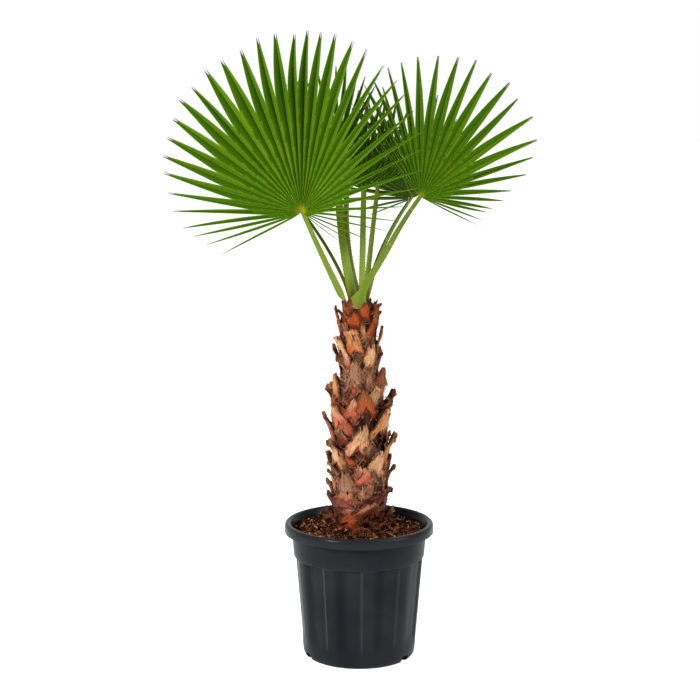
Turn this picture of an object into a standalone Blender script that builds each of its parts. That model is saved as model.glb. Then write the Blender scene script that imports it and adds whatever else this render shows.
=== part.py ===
"""Potted Mexican fan palm: a nursery pot, its soil, a stem clad in old leaf bases, and eight fan leaves.

Metres, +Z up. The origin is the centre of the pot's foot, on the surface that the pot stands on.
The plant's front is towards -Y. Every piece is one closed solid; pieces that touch keep a small gap.
"""

import math
from dataclasses import dataclass

import bmesh
import bpy
import numpy as np
from mathutils import Vector

# ---- Driving dimensions ----
GAP = 0.0003  # between pieces that touch
RIM_RADIUS = 0.175
POT_HEIGHT = 0.32
POT_SIDES = 60
FLUTES = 10
FLUTE_DEPTH = 0.0042
FLUTE_PHASE = math.radians(-76)  # a recess stands just right of the front
WALL = 0.0025
FLOOR_TOP = 0.004
COLLAR_RADIUS = 0.155
BODY_TOP = 0.240
FOOT_RADIUS = 0.133
DRAINS = 3
DRAIN_PHASE = 85  # degrees from +X to the one at the back
DRAIN_SIZE = (0.026, 0.034, 0.021)  # across, along the radius, height
DRAIN_PLACE = (0.130, 0.0055)  # the middle of a drain: its radius and height

SOIL_FOOT = 0.112  # the soil keeps clear of the drains, up to the chamfer's height
SOIL_CHAMFER = 0.018
SOIL_TOP = 0.297  # at the pot's wall
SOIL_RISE = 0.008  # higher at the trunk
TRUNK_FOOT = 0.215  # the stem goes this far down into the soil
TRUNK_TOP = 0.836
STEM_LOW, STEM_HIGH = 0.053, 0.034  # the stem's radius under and over its shoulder
SHOULDER = 0.635

BASES = 38  # old leaf bases, wound round the stem
FIRST_BASE, LAST_BASE = 0.3075, 0.766
BASE_LENGTHS = (0.096, 0.078)  # lowest, highest
BASE_THICKNESS = 0.0028
BASE_SLOPE = 0.155  # how fast a base leaves the stem
BASE_CLEAR = 0.0002  # a base's foot to the round stem, and its slope adds the rest
BASE_LAG = 0.014  # a base narrows over the shoulder later than the stem does
BASE_FLARES = (0.014, 0.004)  # how far a stub bends out at its end: lowest, highest
GOLDEN_ANGLE = math.radians(137.508)
FIRST_BASE_ANGLE = math.radians(-84)  # the lowest one stands at the front

BLADE_THICKNESS = 0.0012
HUB_RADIUS = 0.006
STALK_TOP = 0.0042  # half of a stalk's width just under its blade
STALK_DEPTHS = (0.0056, 0.0040)  # at the seat, at the blade
STALK_POINT = 0.3  # its last stretch draws in by this much to its seat in the blade
SPLIT = 0.60  # the share of its length where a segment comes free
PLEAT = 0.30  # a fold's depth over its half width
SEGMENT_ANGLE = 8.4  # degrees between segments


@dataclass(frozen=True)
class Leaf:
    """One leaf: where its hub is, how its blade faces, and how big it is. Angles are in degrees."""

    name: str
    hub: tuple
    foot: tuple  # x and y of the stalk's seat on the stem
    yaw: float  # 0 faces -Y, and positive turns the face towards +X
    lean: float  # positive leans the blade back, away from its face
    roll: float  # positive turns the midrib towards the blade's own right
    reach: float  # its longest segment
    left: float  # how far the fan opens each side of the midrib
    right: float
    left_end: float  # the outermost segments' share of the reach
    right_end: float
    fold_left: float  # positive brings that half forward, towards the face
    fold_right: float
    foot_width: float


LEAVES = (
    Leaf("left_front", (-0.128, -0.130, 1.055), (-0.024, -0.014),
         -4, 7, 0, 0.400, 123, 128, 0.45, 0.42, 4, 24, 0.017),
    Leaf("left_back", (-0.184, 0.130, 1.088), (-0.019, 0.013),
         -98, 6, -10, 0.262, 100, 96, 0.45, 0.45, 6, 6, 0.016),
    Leaf("centre_left", (-0.042, 0.098, 1.165), (-0.008, -0.001),
         -6, 4, -3, 0.215, 58, 60, 0.5, 0.5, 8, 8, 0.021),
    Leaf("centre_back", (-0.024, 0.274, 1.110), (0.001, 0.021),
         178, 5, 0, 0.215, 84, 84, 0.45, 0.45, 4, 4, 0.014),
    Leaf("centre_front", (0.011, 0.010, 1.098), (0.006, -0.010),
         -12, 4, -6, 0.185, 72, 66, 0.5, 0.5, 10, 4, 0.014),
    Leaf("centre_right", (0.043, 0.052, 1.103), (0.013, 0.006),
         12, 5, 8, 0.195, 62, 66, 0.5, 0.5, 4, 4, 0.013),
    Leaf("right_back", (0.126, 0.106, 1.069), (0.023, 0.010),
         150, -4, 28, 0.275, 88, 84, 0.5, 0.45, 4, 4, 0.016),
    Leaf("right_front", (0.137, -0.070, 1.085), (0.016, -0.022),
         5, 5, 25, 0.327, 66, 94, 0.80, 0.42, -10, 0, 0.022),
)


def fresh_object(name, verts, faces, material, smooth_angle=35):
    """Link a new mesh object and shade it smooth up to smooth_angle."""
    mesh = bpy.data.meshes.new(name)
    mesh.from_pydata([tuple(v) for v in verts], [], [tuple(f) for f in faces])
    bm = bmesh.new()
    bm.from_mesh(mesh)
    bmesh.ops.remove_doubles(bm, verts=bm.verts, dist=1e-6)
    bmesh.ops.recalc_face_normals(bm, faces=bm.faces)
    bm.to_mesh(mesh)
    bm.free()
    obj = bpy.data.objects.new(name, mesh)
    bpy.context.scene.collection.objects.link(obj)
    mesh.shade_smooth()
    mesh.set_sharp_from_angle(angle=math.radians(smooth_angle))
    mesh.materials.append(material)
    return obj


def plain_material(name, colour, roughness):
    """A Principled material with this colour and roughness."""
    material = bpy.data.materials.new(name)
    material.use_nodes = True
    shader = material.node_tree.nodes["Principled BSDF"]
    shader.inputs["Base Color"].default_value = (*colour, 1)
    shader.inputs["Roughness"].default_value = roughness
    shader.inputs["Metallic"].default_value = 0.0
    return material


def turned(name, rows, sides, material, radius_at=None):
    """A closed solid of revolution from (radius, height, flute) rows, bottom axis point first, top or inner axis point last.
    Going up the outside and down the inside keeps the faces outwards."""
    angles = np.arange(sides) * 2 * math.pi / sides
    verts = [(0, 0, rows[0][1])]
    for radius, height, flute in rows[1:-1]:
        for angle in angles:
            r = radius - flute * (radius_at(angle) if radius_at else 0)
            verts.append((r * math.cos(angle), r * math.sin(angle), height))
    verts.append((0, 0, rows[-1][1]))
    last = len(verts) - 1
    faces = []
    for side in range(sides):
        after = (side + 1) % sides
        faces.append((0, 1 + after, 1 + side))
        for ring in range(len(rows) - 3):
            low, high = 1 + ring * sides, 1 + (ring + 1) * sides
            faces.append((low + side, low + after, high + after, high + side))
        top = 1 + (len(rows) - 3) * sides
        faces.append((top + side, top + after, last))
    return fresh_object(name, verts, faces, material)


# ---- Pot and soil ----
def flute_depth(angle):
    """The wall's recess at this angle: flat-bottomed flutes with short slanted sides."""
    wave = math.cos(FLUTES * (angle - FLUTE_PHASE))
    return FLUTE_DEPTH * min(1.0, max(0.0, 0.5 + 1.6 * wave))


def body_radius(height):
    """The pot's outer radius between its foot and its collar."""
    share = (height - 0.03) / (BODY_TOP - 0.03)
    return FOOT_RADIUS + (0.1505 - FOOT_RADIUS) * share


def inner_radius(height):
    """The pot's smooth inner radius, clear of the flutes."""
    if height <= BODY_TOP:
        return body_radius(height) - FLUTE_DEPTH - WALL
    share = (height - BODY_TOP) / (POT_HEIGHT - BODY_TOP)
    low = body_radius(BODY_TOP) - FLUTE_DEPTH - WALL
    return low + (0.1575 - low) * share


def pot_rows():
    """Half of the pot's section, up the outside and down the inside."""
    lip = POT_HEIGHT
    return [
        (0, 0.0, 0),
        (0.121, 0.0, 0),
        (0.128, 0.004, 0),
        (0.1315, 0.012, 0),
        (FOOT_RADIUS, 0.028, 0),
        (body_radius(0.034), 0.034, 1),
        (body_radius(BODY_TOP - 0.003), BODY_TOP - 0.003, 1),
        (body_radius(BODY_TOP), BODY_TOP, 0),
        (COLLAR_RADIUS - 0.0015, BODY_TOP + 0.003, 0),
        (COLLAR_RADIUS + 0.002, lip - 0.031, 0),
        (RIM_RADIUS - 0.0012, lip - 0.0305, 0),
        (RIM_RADIUS, lip - 0.029, 0),
        (RIM_RADIUS - 0.0005, lip - 0.008, 0),
        (RIM_RADIUS - 0.003, lip - 0.0025, 0),
        (RIM_RADIUS - 0.007, lip, 0),
        (RIM_RADIUS - 0.013, lip - 0.001, 0),
        (0.1595, lip - 0.004, 0),
        (inner_radius(lip - 0.010), lip - 0.010, 0),
        (inner_radius(BODY_TOP), BODY_TOP, 0),
        (inner_radius(FLOOR_TOP), FLOOR_TOP, 0),
        (0, FLOOR_TOP, 0),
    ]


def make_pot(material):
    """The nursery pot with drain gaps cut through the corner of its foot."""
    pot = turned("nursery_pot", pot_rows(), POT_SIDES, material, flute_depth)
    across, along, height = DRAIN_SIZE
    for number in range(DRAINS):
        angle = math.radians(DRAIN_PHASE + 360 / DRAINS * number)
        mesh = bpy.data.meshes.new("drain_cutter")
        bm = bmesh.new()
        bmesh.ops.create_cube(bm, size=1)
        bmesh.ops.scale(bm, vec=(along, across, height), verts=bm.verts)
        bm.to_mesh(mesh)
        bm.free()
        cutter = bpy.data.objects.new(f"drain_cutter_{number}", mesh)
        bpy.context.scene.collection.objects.link(cutter)
        radius, middle = DRAIN_PLACE
        cutter.location = (radius * math.cos(angle), radius * math.sin(angle), middle)
        cutter.rotation_euler = (0, 0, angle)
        cutter.hide_render = True
        cutter.display_type = "WIRE"
        cut = pot.modifiers.new(f"drain_{number}", "BOOLEAN")
        cut.operation = "DIFFERENCE"
        cut.object = cutter
    return pot


def stem_radius(height):
    """The stem's radius: stout below the shoulder, slimmer above it, a little drawn in at the crown."""
    step = 1 / (1 + math.exp(-(height - SHOULDER) / 0.012))
    crown = max(0.0, (height - 0.76) / (TRUNK_TOP - 0.76))
    return STEM_LOW + (STEM_HIGH - STEM_LOW) * step - 0.001 * crown


def make_soil(material):
    """The potting soil, one body that fills the pot and holds the stem's foot in a close pocket."""
    floor = FLOOR_TOP + GAP
    pocket = stem_radius(SOIL_TOP) + GAP
    rows = [
        (0, floor, 0),
        (SOIL_FOOT, floor, 0),
        (inner_radius(SOIL_CHAMFER) - 2 * GAP, SOIL_CHAMFER, 0),
        (inner_radius(BODY_TOP) - 2 * GAP, BODY_TOP, 0),
        (inner_radius(SOIL_TOP) - 2 * GAP, SOIL_TOP, 0),
        (0.115, SOIL_TOP + 0.6 * SOIL_RISE, 0),
        (pocket, SOIL_TOP + SOIL_RISE, 0),
        (pocket, TRUNK_FOOT - GAP, 0),
        (0, TRUNK_FOOT - GAP, 0),
    ]
    return turned("potting_soil", rows, 48, material)


def make_stem(material):
    """The fibrous stem from its buried foot to the flat crown that carries the leaf stalks."""
    foot = stem_radius(SOIL_TOP)
    rows = [(0, TRUNK_FOOT, 0), (foot - 0.002, TRUNK_FOOT, 0), (foot, TRUNK_FOOT + 0.01, 0)]
    below, above = np.linspace(SOIL_TOP, SHOULDER - 0.04, 4), np.linspace(SHOULDER + 0.04, TRUNK_TOP, 4)
    for height in (*below, *np.linspace(SHOULDER - 0.025, SHOULDER + 0.025, 5), *above):
        rows.append((stem_radius(height), float(height), 0))
    rows.append((0, TRUNK_TOP, 0))
    return turned("palm_stem", rows, 36, material)


# ---- Old leaf bases ----
def base_point(number, u, v, outside):
    """A point of leaf base `number`: u runs across from -1 to 1, v from the split foot to the cut stub.
    The foot is two arms either side of a notch; the base leaves the stem at a steady slope and flares at the stub."""
    share = number / (BASES - 1)
    start = FIRST_BASE + (LAST_BASE - FIRST_BASE) * share
    length = BASE_LENGTHS[0] + (BASE_LENGTHS[1] - BASE_LENGTHS[0]) * share
    notch = 0.42 * max(0.0, 1 - abs(u) / 0.55) + 0.10 * abs(u) ** 2
    along = notch + v * (1 - notch)
    spread = math.radians(50) * (1 - along) ** 1.15 + math.radians(11) * (1 + 0.3 * along)
    angle = GOLDEN_ANGLE * number + FIRST_BASE_ANGLE + u * spread
    height = start + length * along
    radius = stem_radius(height - BASE_LAG * along) + BASE_CLEAR + BASE_SLOPE * length * along
    flare = BASE_FLARES[0] + (BASE_FLARES[1] - BASE_FLARES[0]) * share
    radius += flare * max(0.0, (along - 0.62) / 0.38) ** 2
    if outside:
        radius += BASE_THICKNESS
    return radius * math.cos(angle), radius * math.sin(angle), height


def make_leaf_base(number, material, across=6, along=3):
    """One old leaf base as a closed curved plate."""
    verts = [
        base_point(number, -1 + 2 * i / across, j / along, outside)
        for outside in (False, True)
        for j in range(along + 1)
        for i in range(across + 1)
    ]
    width, layer = across + 1, (across + 1) * (along + 1)
    faces = []
    for j in range(along):
        for i in range(across):
            a = j * width + i
            faces.append((a, a + width, a + width + 1, a + 1))
            faces.append((layer + a, layer + a + 1, layer + a + width + 1, layer + a + width))
    for i in range(across):
        top = along * width + i
        faces.append((i, i + 1, layer + i + 1, layer + i))
        faces.append((top, layer + top, layer + top + 1, top + 1))
    for j in range(along):
        left, right = j * width, j * width + across
        faces.append((left, layer + left, layer + left + width, left + width))
        faces.append((right, right + width, layer + right + width, layer + right))
    return fresh_object(f"leaf_base_{number + 1:02d}", verts, faces, material)


# ---- Leaves ----
def leaf_axes(leaf):
    """The blade's own right, midrib and face directions."""
    yaw, lean, roll = (math.radians(a) for a in (leaf.yaw, leaf.lean, leaf.roll))
    right, up = Vector((1, 0, 0)), Vector((0, math.sin(lean), math.cos(lean)))
    face = Vector((0, -math.cos(lean), math.sin(lean)))
    midrib = math.cos(roll) * up + math.sin(roll) * right
    side = math.cos(roll) * right - math.sin(roll) * up
    turn = Vector((0, 0, 1))
    return tuple(_turned_about(v, turn, yaw) for v in (side, midrib, face))


def _turned_about(vector, axis, angle):
    """vector turned about the unit axis by angle."""
    return (
        vector * math.cos(angle)
        + axis.cross(vector) * math.sin(angle)
        + axis * axis.dot(vector) * (1 - math.cos(angle))
    )


def segment_length(leaf, angle):
    """A segment's length falls with the square of its angle from the midrib."""
    limit, end = (leaf.right, leaf.right_end) if angle > 0 else (leaf.left, leaf.left_end)
    return leaf.reach * (1 - (1 - end) * (angle / math.radians(limit)) ** 2)


def blade_point(leaf, axes, angle, radius, height):
    """A point of the blade at this angle and radius, lifted by height off its face. Each half is folded about the midrib."""
    side, midrib, face = axes
    fold = math.radians(leaf.fold_right if angle > 0 else leaf.fold_left)
    across = math.sin(angle) * radius
    lift = abs(across) * math.sin(fold)
    return (
        Vector(leaf.hub)
        + midrib * (math.cos(angle) * radius)
        + side * (across * math.cos(fold))
        + face * (lift + height)
    )


def make_blade(leaf, material):
    """The pleated fan: one sheet near the hub, whose folds come apart into tapering fingers.
    Stations run from the hub to the split; each finger then narrows to its tip."""
    axes = leaf_axes(leaf)
    low, high = -math.radians(leaf.left), math.radians(leaf.right)
    count = round((leaf.left + leaf.right) / SEGMENT_ANGLE)
    step = (high - low) / count
    verts, faces = [], []

    def add(angle, radius, height):
        """Add the lower and upper point here and return the lower one's index."""
        for side_height in (height - BLADE_THICKNESS / 2, height + BLADE_THICKNESS / 2):
            verts.append(blade_point(leaf, axes, angle, radius, side_height))
        return len(verts) - 2

    def fold_height(radius, is_edge):
        """Fold lines between segments stand up and midribs lie low, in step with the segment's width."""
        depth = PLEAT * radius * step / 2
        return depth / 2 if is_edge else -depth / 2

    def skin(a, b, c, d):
        """One quad on each skin, between points a, b (inner) and c, d (outer)."""
        faces.append((a + 1, b + 1, d + 1, c + 1))
        faces.append((a, c, d, b))

    def wall(a, b):
        """The edge wall between points a and b."""
        faces.append((a, b, b + 1, a + 1))

    lines = [low + step * i / 2 for i in range(2 * count + 1)]
    lengths = [segment_length(leaf, lines[2 * k + 1]) for k in range(count)]
    edge_lengths = [lengths[0]] + [min(a, b) for a, b in zip(lengths, lengths[1:])] + [lengths[-1]]
    hub, split = [], []
    for i, angle in enumerate(lines):
        is_edge = i % 2 == 0
        reach = edge_lengths[i // 2] if is_edge else lengths[i // 2]
        hub.append(add(angle, HUB_RADIUS, fold_height(HUB_RADIUS, is_edge)))
        split.append(add(angle, SPLIT * reach, fold_height(SPLIT * reach, is_edge)))
    for i in range(2 * count):
        skin(hub[i], hub[i + 1], split[i], split[i + 1])
        wall(hub[i], hub[i + 1])
    wall(hub[0], split[0])
    wall(split[-1], hub[-1])
    for k in range(count):
        middle, length = lines[2 * k + 1], lengths[k]
        rows = [split[2 * k : 2 * k + 3]]
        for share, width in ((0.82, 0.42), (1.0, 0.05)):
            half = step / 2 * SPLIT * width / share
            radius = share * length
            depth = fold_height(SPLIT * length, True) * width
            rows.append(
                [
                    add(middle - half, radius, depth),
                    add(middle, radius, -depth),
                    add(middle + half, radius, depth),
                ]
            )
        for (a, b, c), (d, e, f) in zip(rows, rows[1:]):
            skin(a, b, d, e)
            skin(b, c, e, f)
            wall(a, d)
            wall(f, c)
        tip = rows[-1]
        wall(tip[0], tip[1])
        wall(tip[1], tip[2])
    return fresh_object(f"leaf_blade_{leaf.name}", verts, faces, material)


def stalk_centre(leaf, t):
    """A point on the stalk's centre line: it climbs from its seat, then bends towards the hub."""
    foot = Vector((*leaf.foot, TRUNK_TOP + GAP))
    hub = Vector(leaf.hub)
    _, midrib, face = leaf_axes(leaf)
    slant = abs((hub - foot).normalized().dot(face))
    end = hub + midrib * (HUB_RADIUS - (3 + slant) * GAP)
    bend = foot + (end - foot) * 0.42 + Vector((0, 0, 0.02))
    return (1 - t) ** 2 * foot + 2 * t * (1 - t) * bend + t**2 * end


def make_stalk(leaf, material, rings=9):
    """The leaf stalk: a shallow channel in section, wide at its seat and slim at the hub, with a level foot."""
    _, _, face = leaf_axes(leaf)
    section = [(-1, 0.30), (-0.55, 0.05), (0.55, 0.05), (1, 0.30), (0.72, -0.55), (0, -0.85), (-0.72, -0.55)]
    verts = []
    for ring in range(rings):
        t = ring / (rings - 1)
        centre = stalk_centre(leaf, t)
        ahead = (stalk_centre(leaf, min(1, t + 0.02)) - stalk_centre(leaf, max(0, t - 0.02))).normalized()
        across = ahead.cross(face).normalized()
        out = across.cross(ahead).normalized()
        half = leaf.foot_width / 2 + (STALK_TOP - leaf.foot_width / 2) * t**0.75
        thick = STALK_DEPTHS[0] + (STALK_DEPTHS[1] - STALK_DEPTHS[0]) * t
        if ring == rings - 1:
            half *= STALK_POINT
            thick *= STALK_POINT
        for x, y in section:
            point = centre + across * (x * half) + out * (y * thick)
            if ring == 0:
                point.z = TRUNK_TOP + GAP
            verts.append(point)
    count = len(section)
    faces = [tuple(range(count)), tuple(range(len(verts) - count, len(verts)))[::-1]]
    for ring in range(rings - 1):
        for i in range(count):
            a, b = ring * count + i, ring * count + (i + 1) % count
            faces.append((a, a + count, b + count, b))
    return fresh_object(f"leaf_stalk_{leaf.name}", verts, faces, material)


def main():
    """Clear the scene and build every piece."""
    for obj in list(bpy.data.objects):
        bpy.data.objects.remove(obj)
    plastic = plain_material("pot_plastic", (0.022, 0.025, 0.028), 0.45)
    soil = plain_material("potting_soil", (0.06, 0.028, 0.014), 0.95)
    fibre = plain_material("stem_fibre", (0.16, 0.07, 0.03), 0.9)
    husk = plain_material("leaf_base_husk", (0.42, 0.22, 0.11), 0.8)
    stalk = plain_material("leaf_stalk", (0.16, 0.26, 0.04), 0.45)
    blade = plain_material("leaf_blade", (0.06, 0.17, 0.01), 0.5)
    make_pot(plastic)
    make_soil(soil)
    make_stem(fibre)
    for number in range(BASES):
        make_leaf_base(number, husk)
    for leaf in LEAVES:
        make_stalk(leaf, stalk)
        make_blade(leaf, blade)


main()
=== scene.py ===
"""Looks of the potted Mexican fan palm: pot, soil, husk-clad stem and fan leaves, on the CAD frame."""

import logging
import math
from dataclasses import dataclass
from enum import Enum

import bmesh
import bpy
import numpy as np
from mathutils import Matrix


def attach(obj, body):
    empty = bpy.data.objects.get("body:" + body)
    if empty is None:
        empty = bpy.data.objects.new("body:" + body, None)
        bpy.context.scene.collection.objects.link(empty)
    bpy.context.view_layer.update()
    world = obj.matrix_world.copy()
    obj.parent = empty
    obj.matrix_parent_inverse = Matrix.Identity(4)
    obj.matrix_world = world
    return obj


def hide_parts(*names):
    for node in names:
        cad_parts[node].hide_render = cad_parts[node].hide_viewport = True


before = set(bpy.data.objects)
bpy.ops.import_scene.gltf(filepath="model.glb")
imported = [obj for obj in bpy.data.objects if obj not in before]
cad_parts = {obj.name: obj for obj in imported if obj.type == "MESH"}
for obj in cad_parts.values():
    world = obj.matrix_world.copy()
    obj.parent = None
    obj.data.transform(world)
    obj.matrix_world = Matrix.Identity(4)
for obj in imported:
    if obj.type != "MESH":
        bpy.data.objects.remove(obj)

Array = np.ndarray
Colour = tuple[float, float, float]
Point = tuple[float, float, float]
Span = tuple[float, float]
BODY = "root"
LOG = logging.getLogger("palm")
UP = np.array((0.0, 0.0, 1.0))


def light(red: int, green: int, blue: int) -> Colour:
    """Turns a screen colour, 0 to 255 a channel, into linear light."""
    share = np.array((red, green, blue)) / 255
    return tuple(np.where(share <= 0.04045, share / 12.92, ((share + 0.055) / 1.055) ** 2.4).tolist())


def blend(low: Array, high: Array | Colour, share: Array) -> Array:
    """Goes from low to high as share goes from 0 to 1, and stays there outside that."""
    return low + (high - low) * np.clip(share, 0, 1)


def ease(low: float, high: float, value: Array) -> Array:
    """Rises smoothly from 0 at low to 1 at high."""
    share = np.clip((value - low) / (high - low), 0, 1)
    return share * share * (3 - 2 * share)


def unit(vector: Array) -> Array:
    """Each vector along the last axis, made one long."""
    return vector / np.maximum(np.linalg.norm(vector, axis=-1, keepdims=True), 1e-12)


def ripple(at: Array, seed: int, terms: int = 5) -> Array:
    """A smooth random wave from -1 to 1: the sum of sines of rising pitch and falling height."""
    rng = np.random.default_rng(seed)
    pitch = rng.uniform(0.7, 1.4, terms) * 2.0 ** np.arange(terms)
    phase = rng.uniform(0, 6.3, terms)
    height = 0.6 ** np.arange(terms)
    return (np.sin(at[..., None] * pitch + phase) * height).sum(-1) / height.sum()


def upright(radius: Array, turn: Array, height: Array) -> Array:
    """Points at a distance from the plant's upright axis, a turn about it and a height."""
    return np.stack(np.broadcast_arrays(radius * np.cos(turn), radius * np.sin(turn), height), -1)


def turned(first: Array, second: Array, angle: Array) -> tuple[Array, Array]:
    """Two coordinates of some points, turned by an angle from the first axis towards the second."""
    return first * np.cos(angle) - second * np.sin(angle), first * np.sin(angle) + second * np.cos(angle)


def draw_tints(
    rng: np.random.Generator, colours: tuple[Colour, ...], shares: tuple[float, ...], count: int
) -> Array:
    """Draws a colour for each of count grids, each colour as often as its share says."""
    return np.array(colours)[rng.choice(len(colours), count, p=shares)][:, None, None]


# ---- Meshes ----
def new_object(name: str, data: bpy.types.ID) -> bpy.types.Object:
    """Puts an object with that data into the scene."""
    made = bpy.data.objects.new(name, data)
    bpy.context.scene.collection.objects.link(made)
    return made


def thicken(piece: bpy.types.Object, wall: float, under: int = 0) -> None:
    """Gives a sheet a wall, half of it to each side.

    Args:
        piece: The sheet.
        wall: The wall's thickness.
        under: How many slots further on the finish of its back is.
    """
    solid = piece.modifiers.new("thickness", "SOLIDIFY")
    solid.thickness = wall
    solid.offset = 0
    solid.material_offset = under


class Skin:
    """Gathers grids of points into one mesh, with a vector, grain, and a colour, tint, at each point."""

    def __init__(self) -> None:
        """Starts with nothing gathered."""
        self.points: list[Array] = []
        self.grains: list[Array] = []
        self.tints: list[Array] = []
        self.quads: list[Array] = []
        self.count = 0

    def add(
        self, points: Array, grain: Array | Point, tint: Array | Colour = (1, 1, 1), around: bool = False
    ) -> None:
        """Adds one grid of points, or a stack of grids alike.

        Args:
            points: Shape (..., rows, columns, 3). Faces look along rows x columns.
            grain: Three numbers a point, in a shape that spreads over the points.
            tint: A colour a point, or one for all.
            around: Whether the last column joins the first.
        """
        rows, columns = points.shape[-3:-1]
        ids = np.arange(points.size // 3).reshape(-1, rows, columns) + self.count
        if around:
            ids = np.concatenate((ids, ids[:, :, :1]), axis=2)
        corners = (ids[:, :-1, :-1], ids[:, :-1, 1:], ids[:, 1:, 1:], ids[:, 1:, :-1])
        self.quads.append(np.stack(corners, axis=-1).reshape(-1, 4))
        self.points.append(points.reshape(-1, 3))
        for kept, values in ((self.grains, grain), (self.tints, tint)):
            kept.append(np.broadcast_to(values, points.shape).reshape(-1, 3))
        self.count += points.size // 3

    def strands(self, paths: Array, radii: Array, tint: Array | Colour, sides: int = 3) -> None:
        """Adds round tubes, which have no grain of their own.

        Args:
            paths: Shape (paths, points, 3).
            radii: Spreads over (paths, points).
            tint: A colour a path, or one for all.
            sides: Corners of the section.
        """
        self.add(tubes(paths, radii, sides), (0, 0, 0), tint, around=True)

    def finish(
        self, name: str, materials: list[bpy.types.Material], sharp: float, closed: bool = True
    ) -> bpy.types.Object:
        """Turns what was gathered into a shown object with its doubles merged.

        Args:
            name: The piece's name.
            materials: Its material slots.
            sharp: The angle in degrees over which an edge stays sharp.
            closed: Whether the shells are closed, so that their faces can be turned outwards.

        Returns:
            The new object, at the origin.
        """
        mesh = bpy.data.meshes.new(name)
        mesh.from_pydata(np.concatenate(self.points), [], np.concatenate(self.quads).tolist())
        for label, kind, field, rows in (
            ("grain", "FLOAT_VECTOR", "vector", np.concatenate(self.grains)),
            ("tint", "FLOAT_COLOR", "color", np.concatenate(self.tints)),
        ):
            if field == "color":
                rows = np.concatenate((rows, np.ones((len(rows), 1))), axis=1)
            mesh.attributes.new(label, kind, "POINT").data.foreach_set(field, rows.ravel().astype(np.float32))
        bm = bmesh.new()
        bm.from_mesh(mesh)
        bmesh.ops.remove_doubles(bm, verts=bm.verts, dist=2e-6)
        bmesh.ops.dissolve_degenerate(bm, edges=bm.edges, dist=1e-7)
        if closed:
            bmesh.ops.recalc_face_normals(bm, faces=bm.faces)
        bm.to_mesh(mesh)
        bm.free()
        for material in materials:
            mesh.materials.append(material)
        mesh.shade_smooth()
        mesh.set_sharp_from_angle(angle=math.radians(sharp))
        return new_object(name, mesh)


def dress(piece: bpy.types.Object, slot: str, *nodes: str) -> None:
    """Puts a piece on the plant's one body, in the place of its CAD nodes.

    Args:
        piece: The finished object.
        slot: The record's material slot; not used.
        nodes: The CAD nodes that it stands for.
    """
    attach(piece, BODY)
    if nodes:
        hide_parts(*nodes)
    stands_for = ", ".join(nodes) or "no solid"
    LOG.info("%s: %d faces, stands for %s", piece.name, len(piece.data.polygons), stands_for)


def tubes(paths: Array, radii: Array, sides: int) -> Array:
    """Round tubes along paths, drawn in to a point at both ends: path + radius (across cos a + over sin a).

    Args:
        paths: Shape (paths, points, 3).
        radii: Spreads over (paths, points).
        sides: Corners of the section.

    Returns:
        Grids of shape (paths, points, sides, 3), for Skin.add with around.
    """
    ahead = unit(np.gradient(paths, axis=1))
    across = unit(np.cross(ahead, UP + np.array((0.013, 0.027, 0))))
    over = np.cross(across, ahead)
    radii = np.broadcast_to(radii, paths.shape[:2]).copy()
    radii[:, 0] = radii[:, -1] = 0
    turn = (np.arange(sides) * 2 * np.pi / sides)[:, None]
    ring = across[:, :, None] * np.cos(turn) + over[:, :, None] * np.sin(turn)
    return paths[:, :, None] + ring * radii[:, :, None, None]


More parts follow.
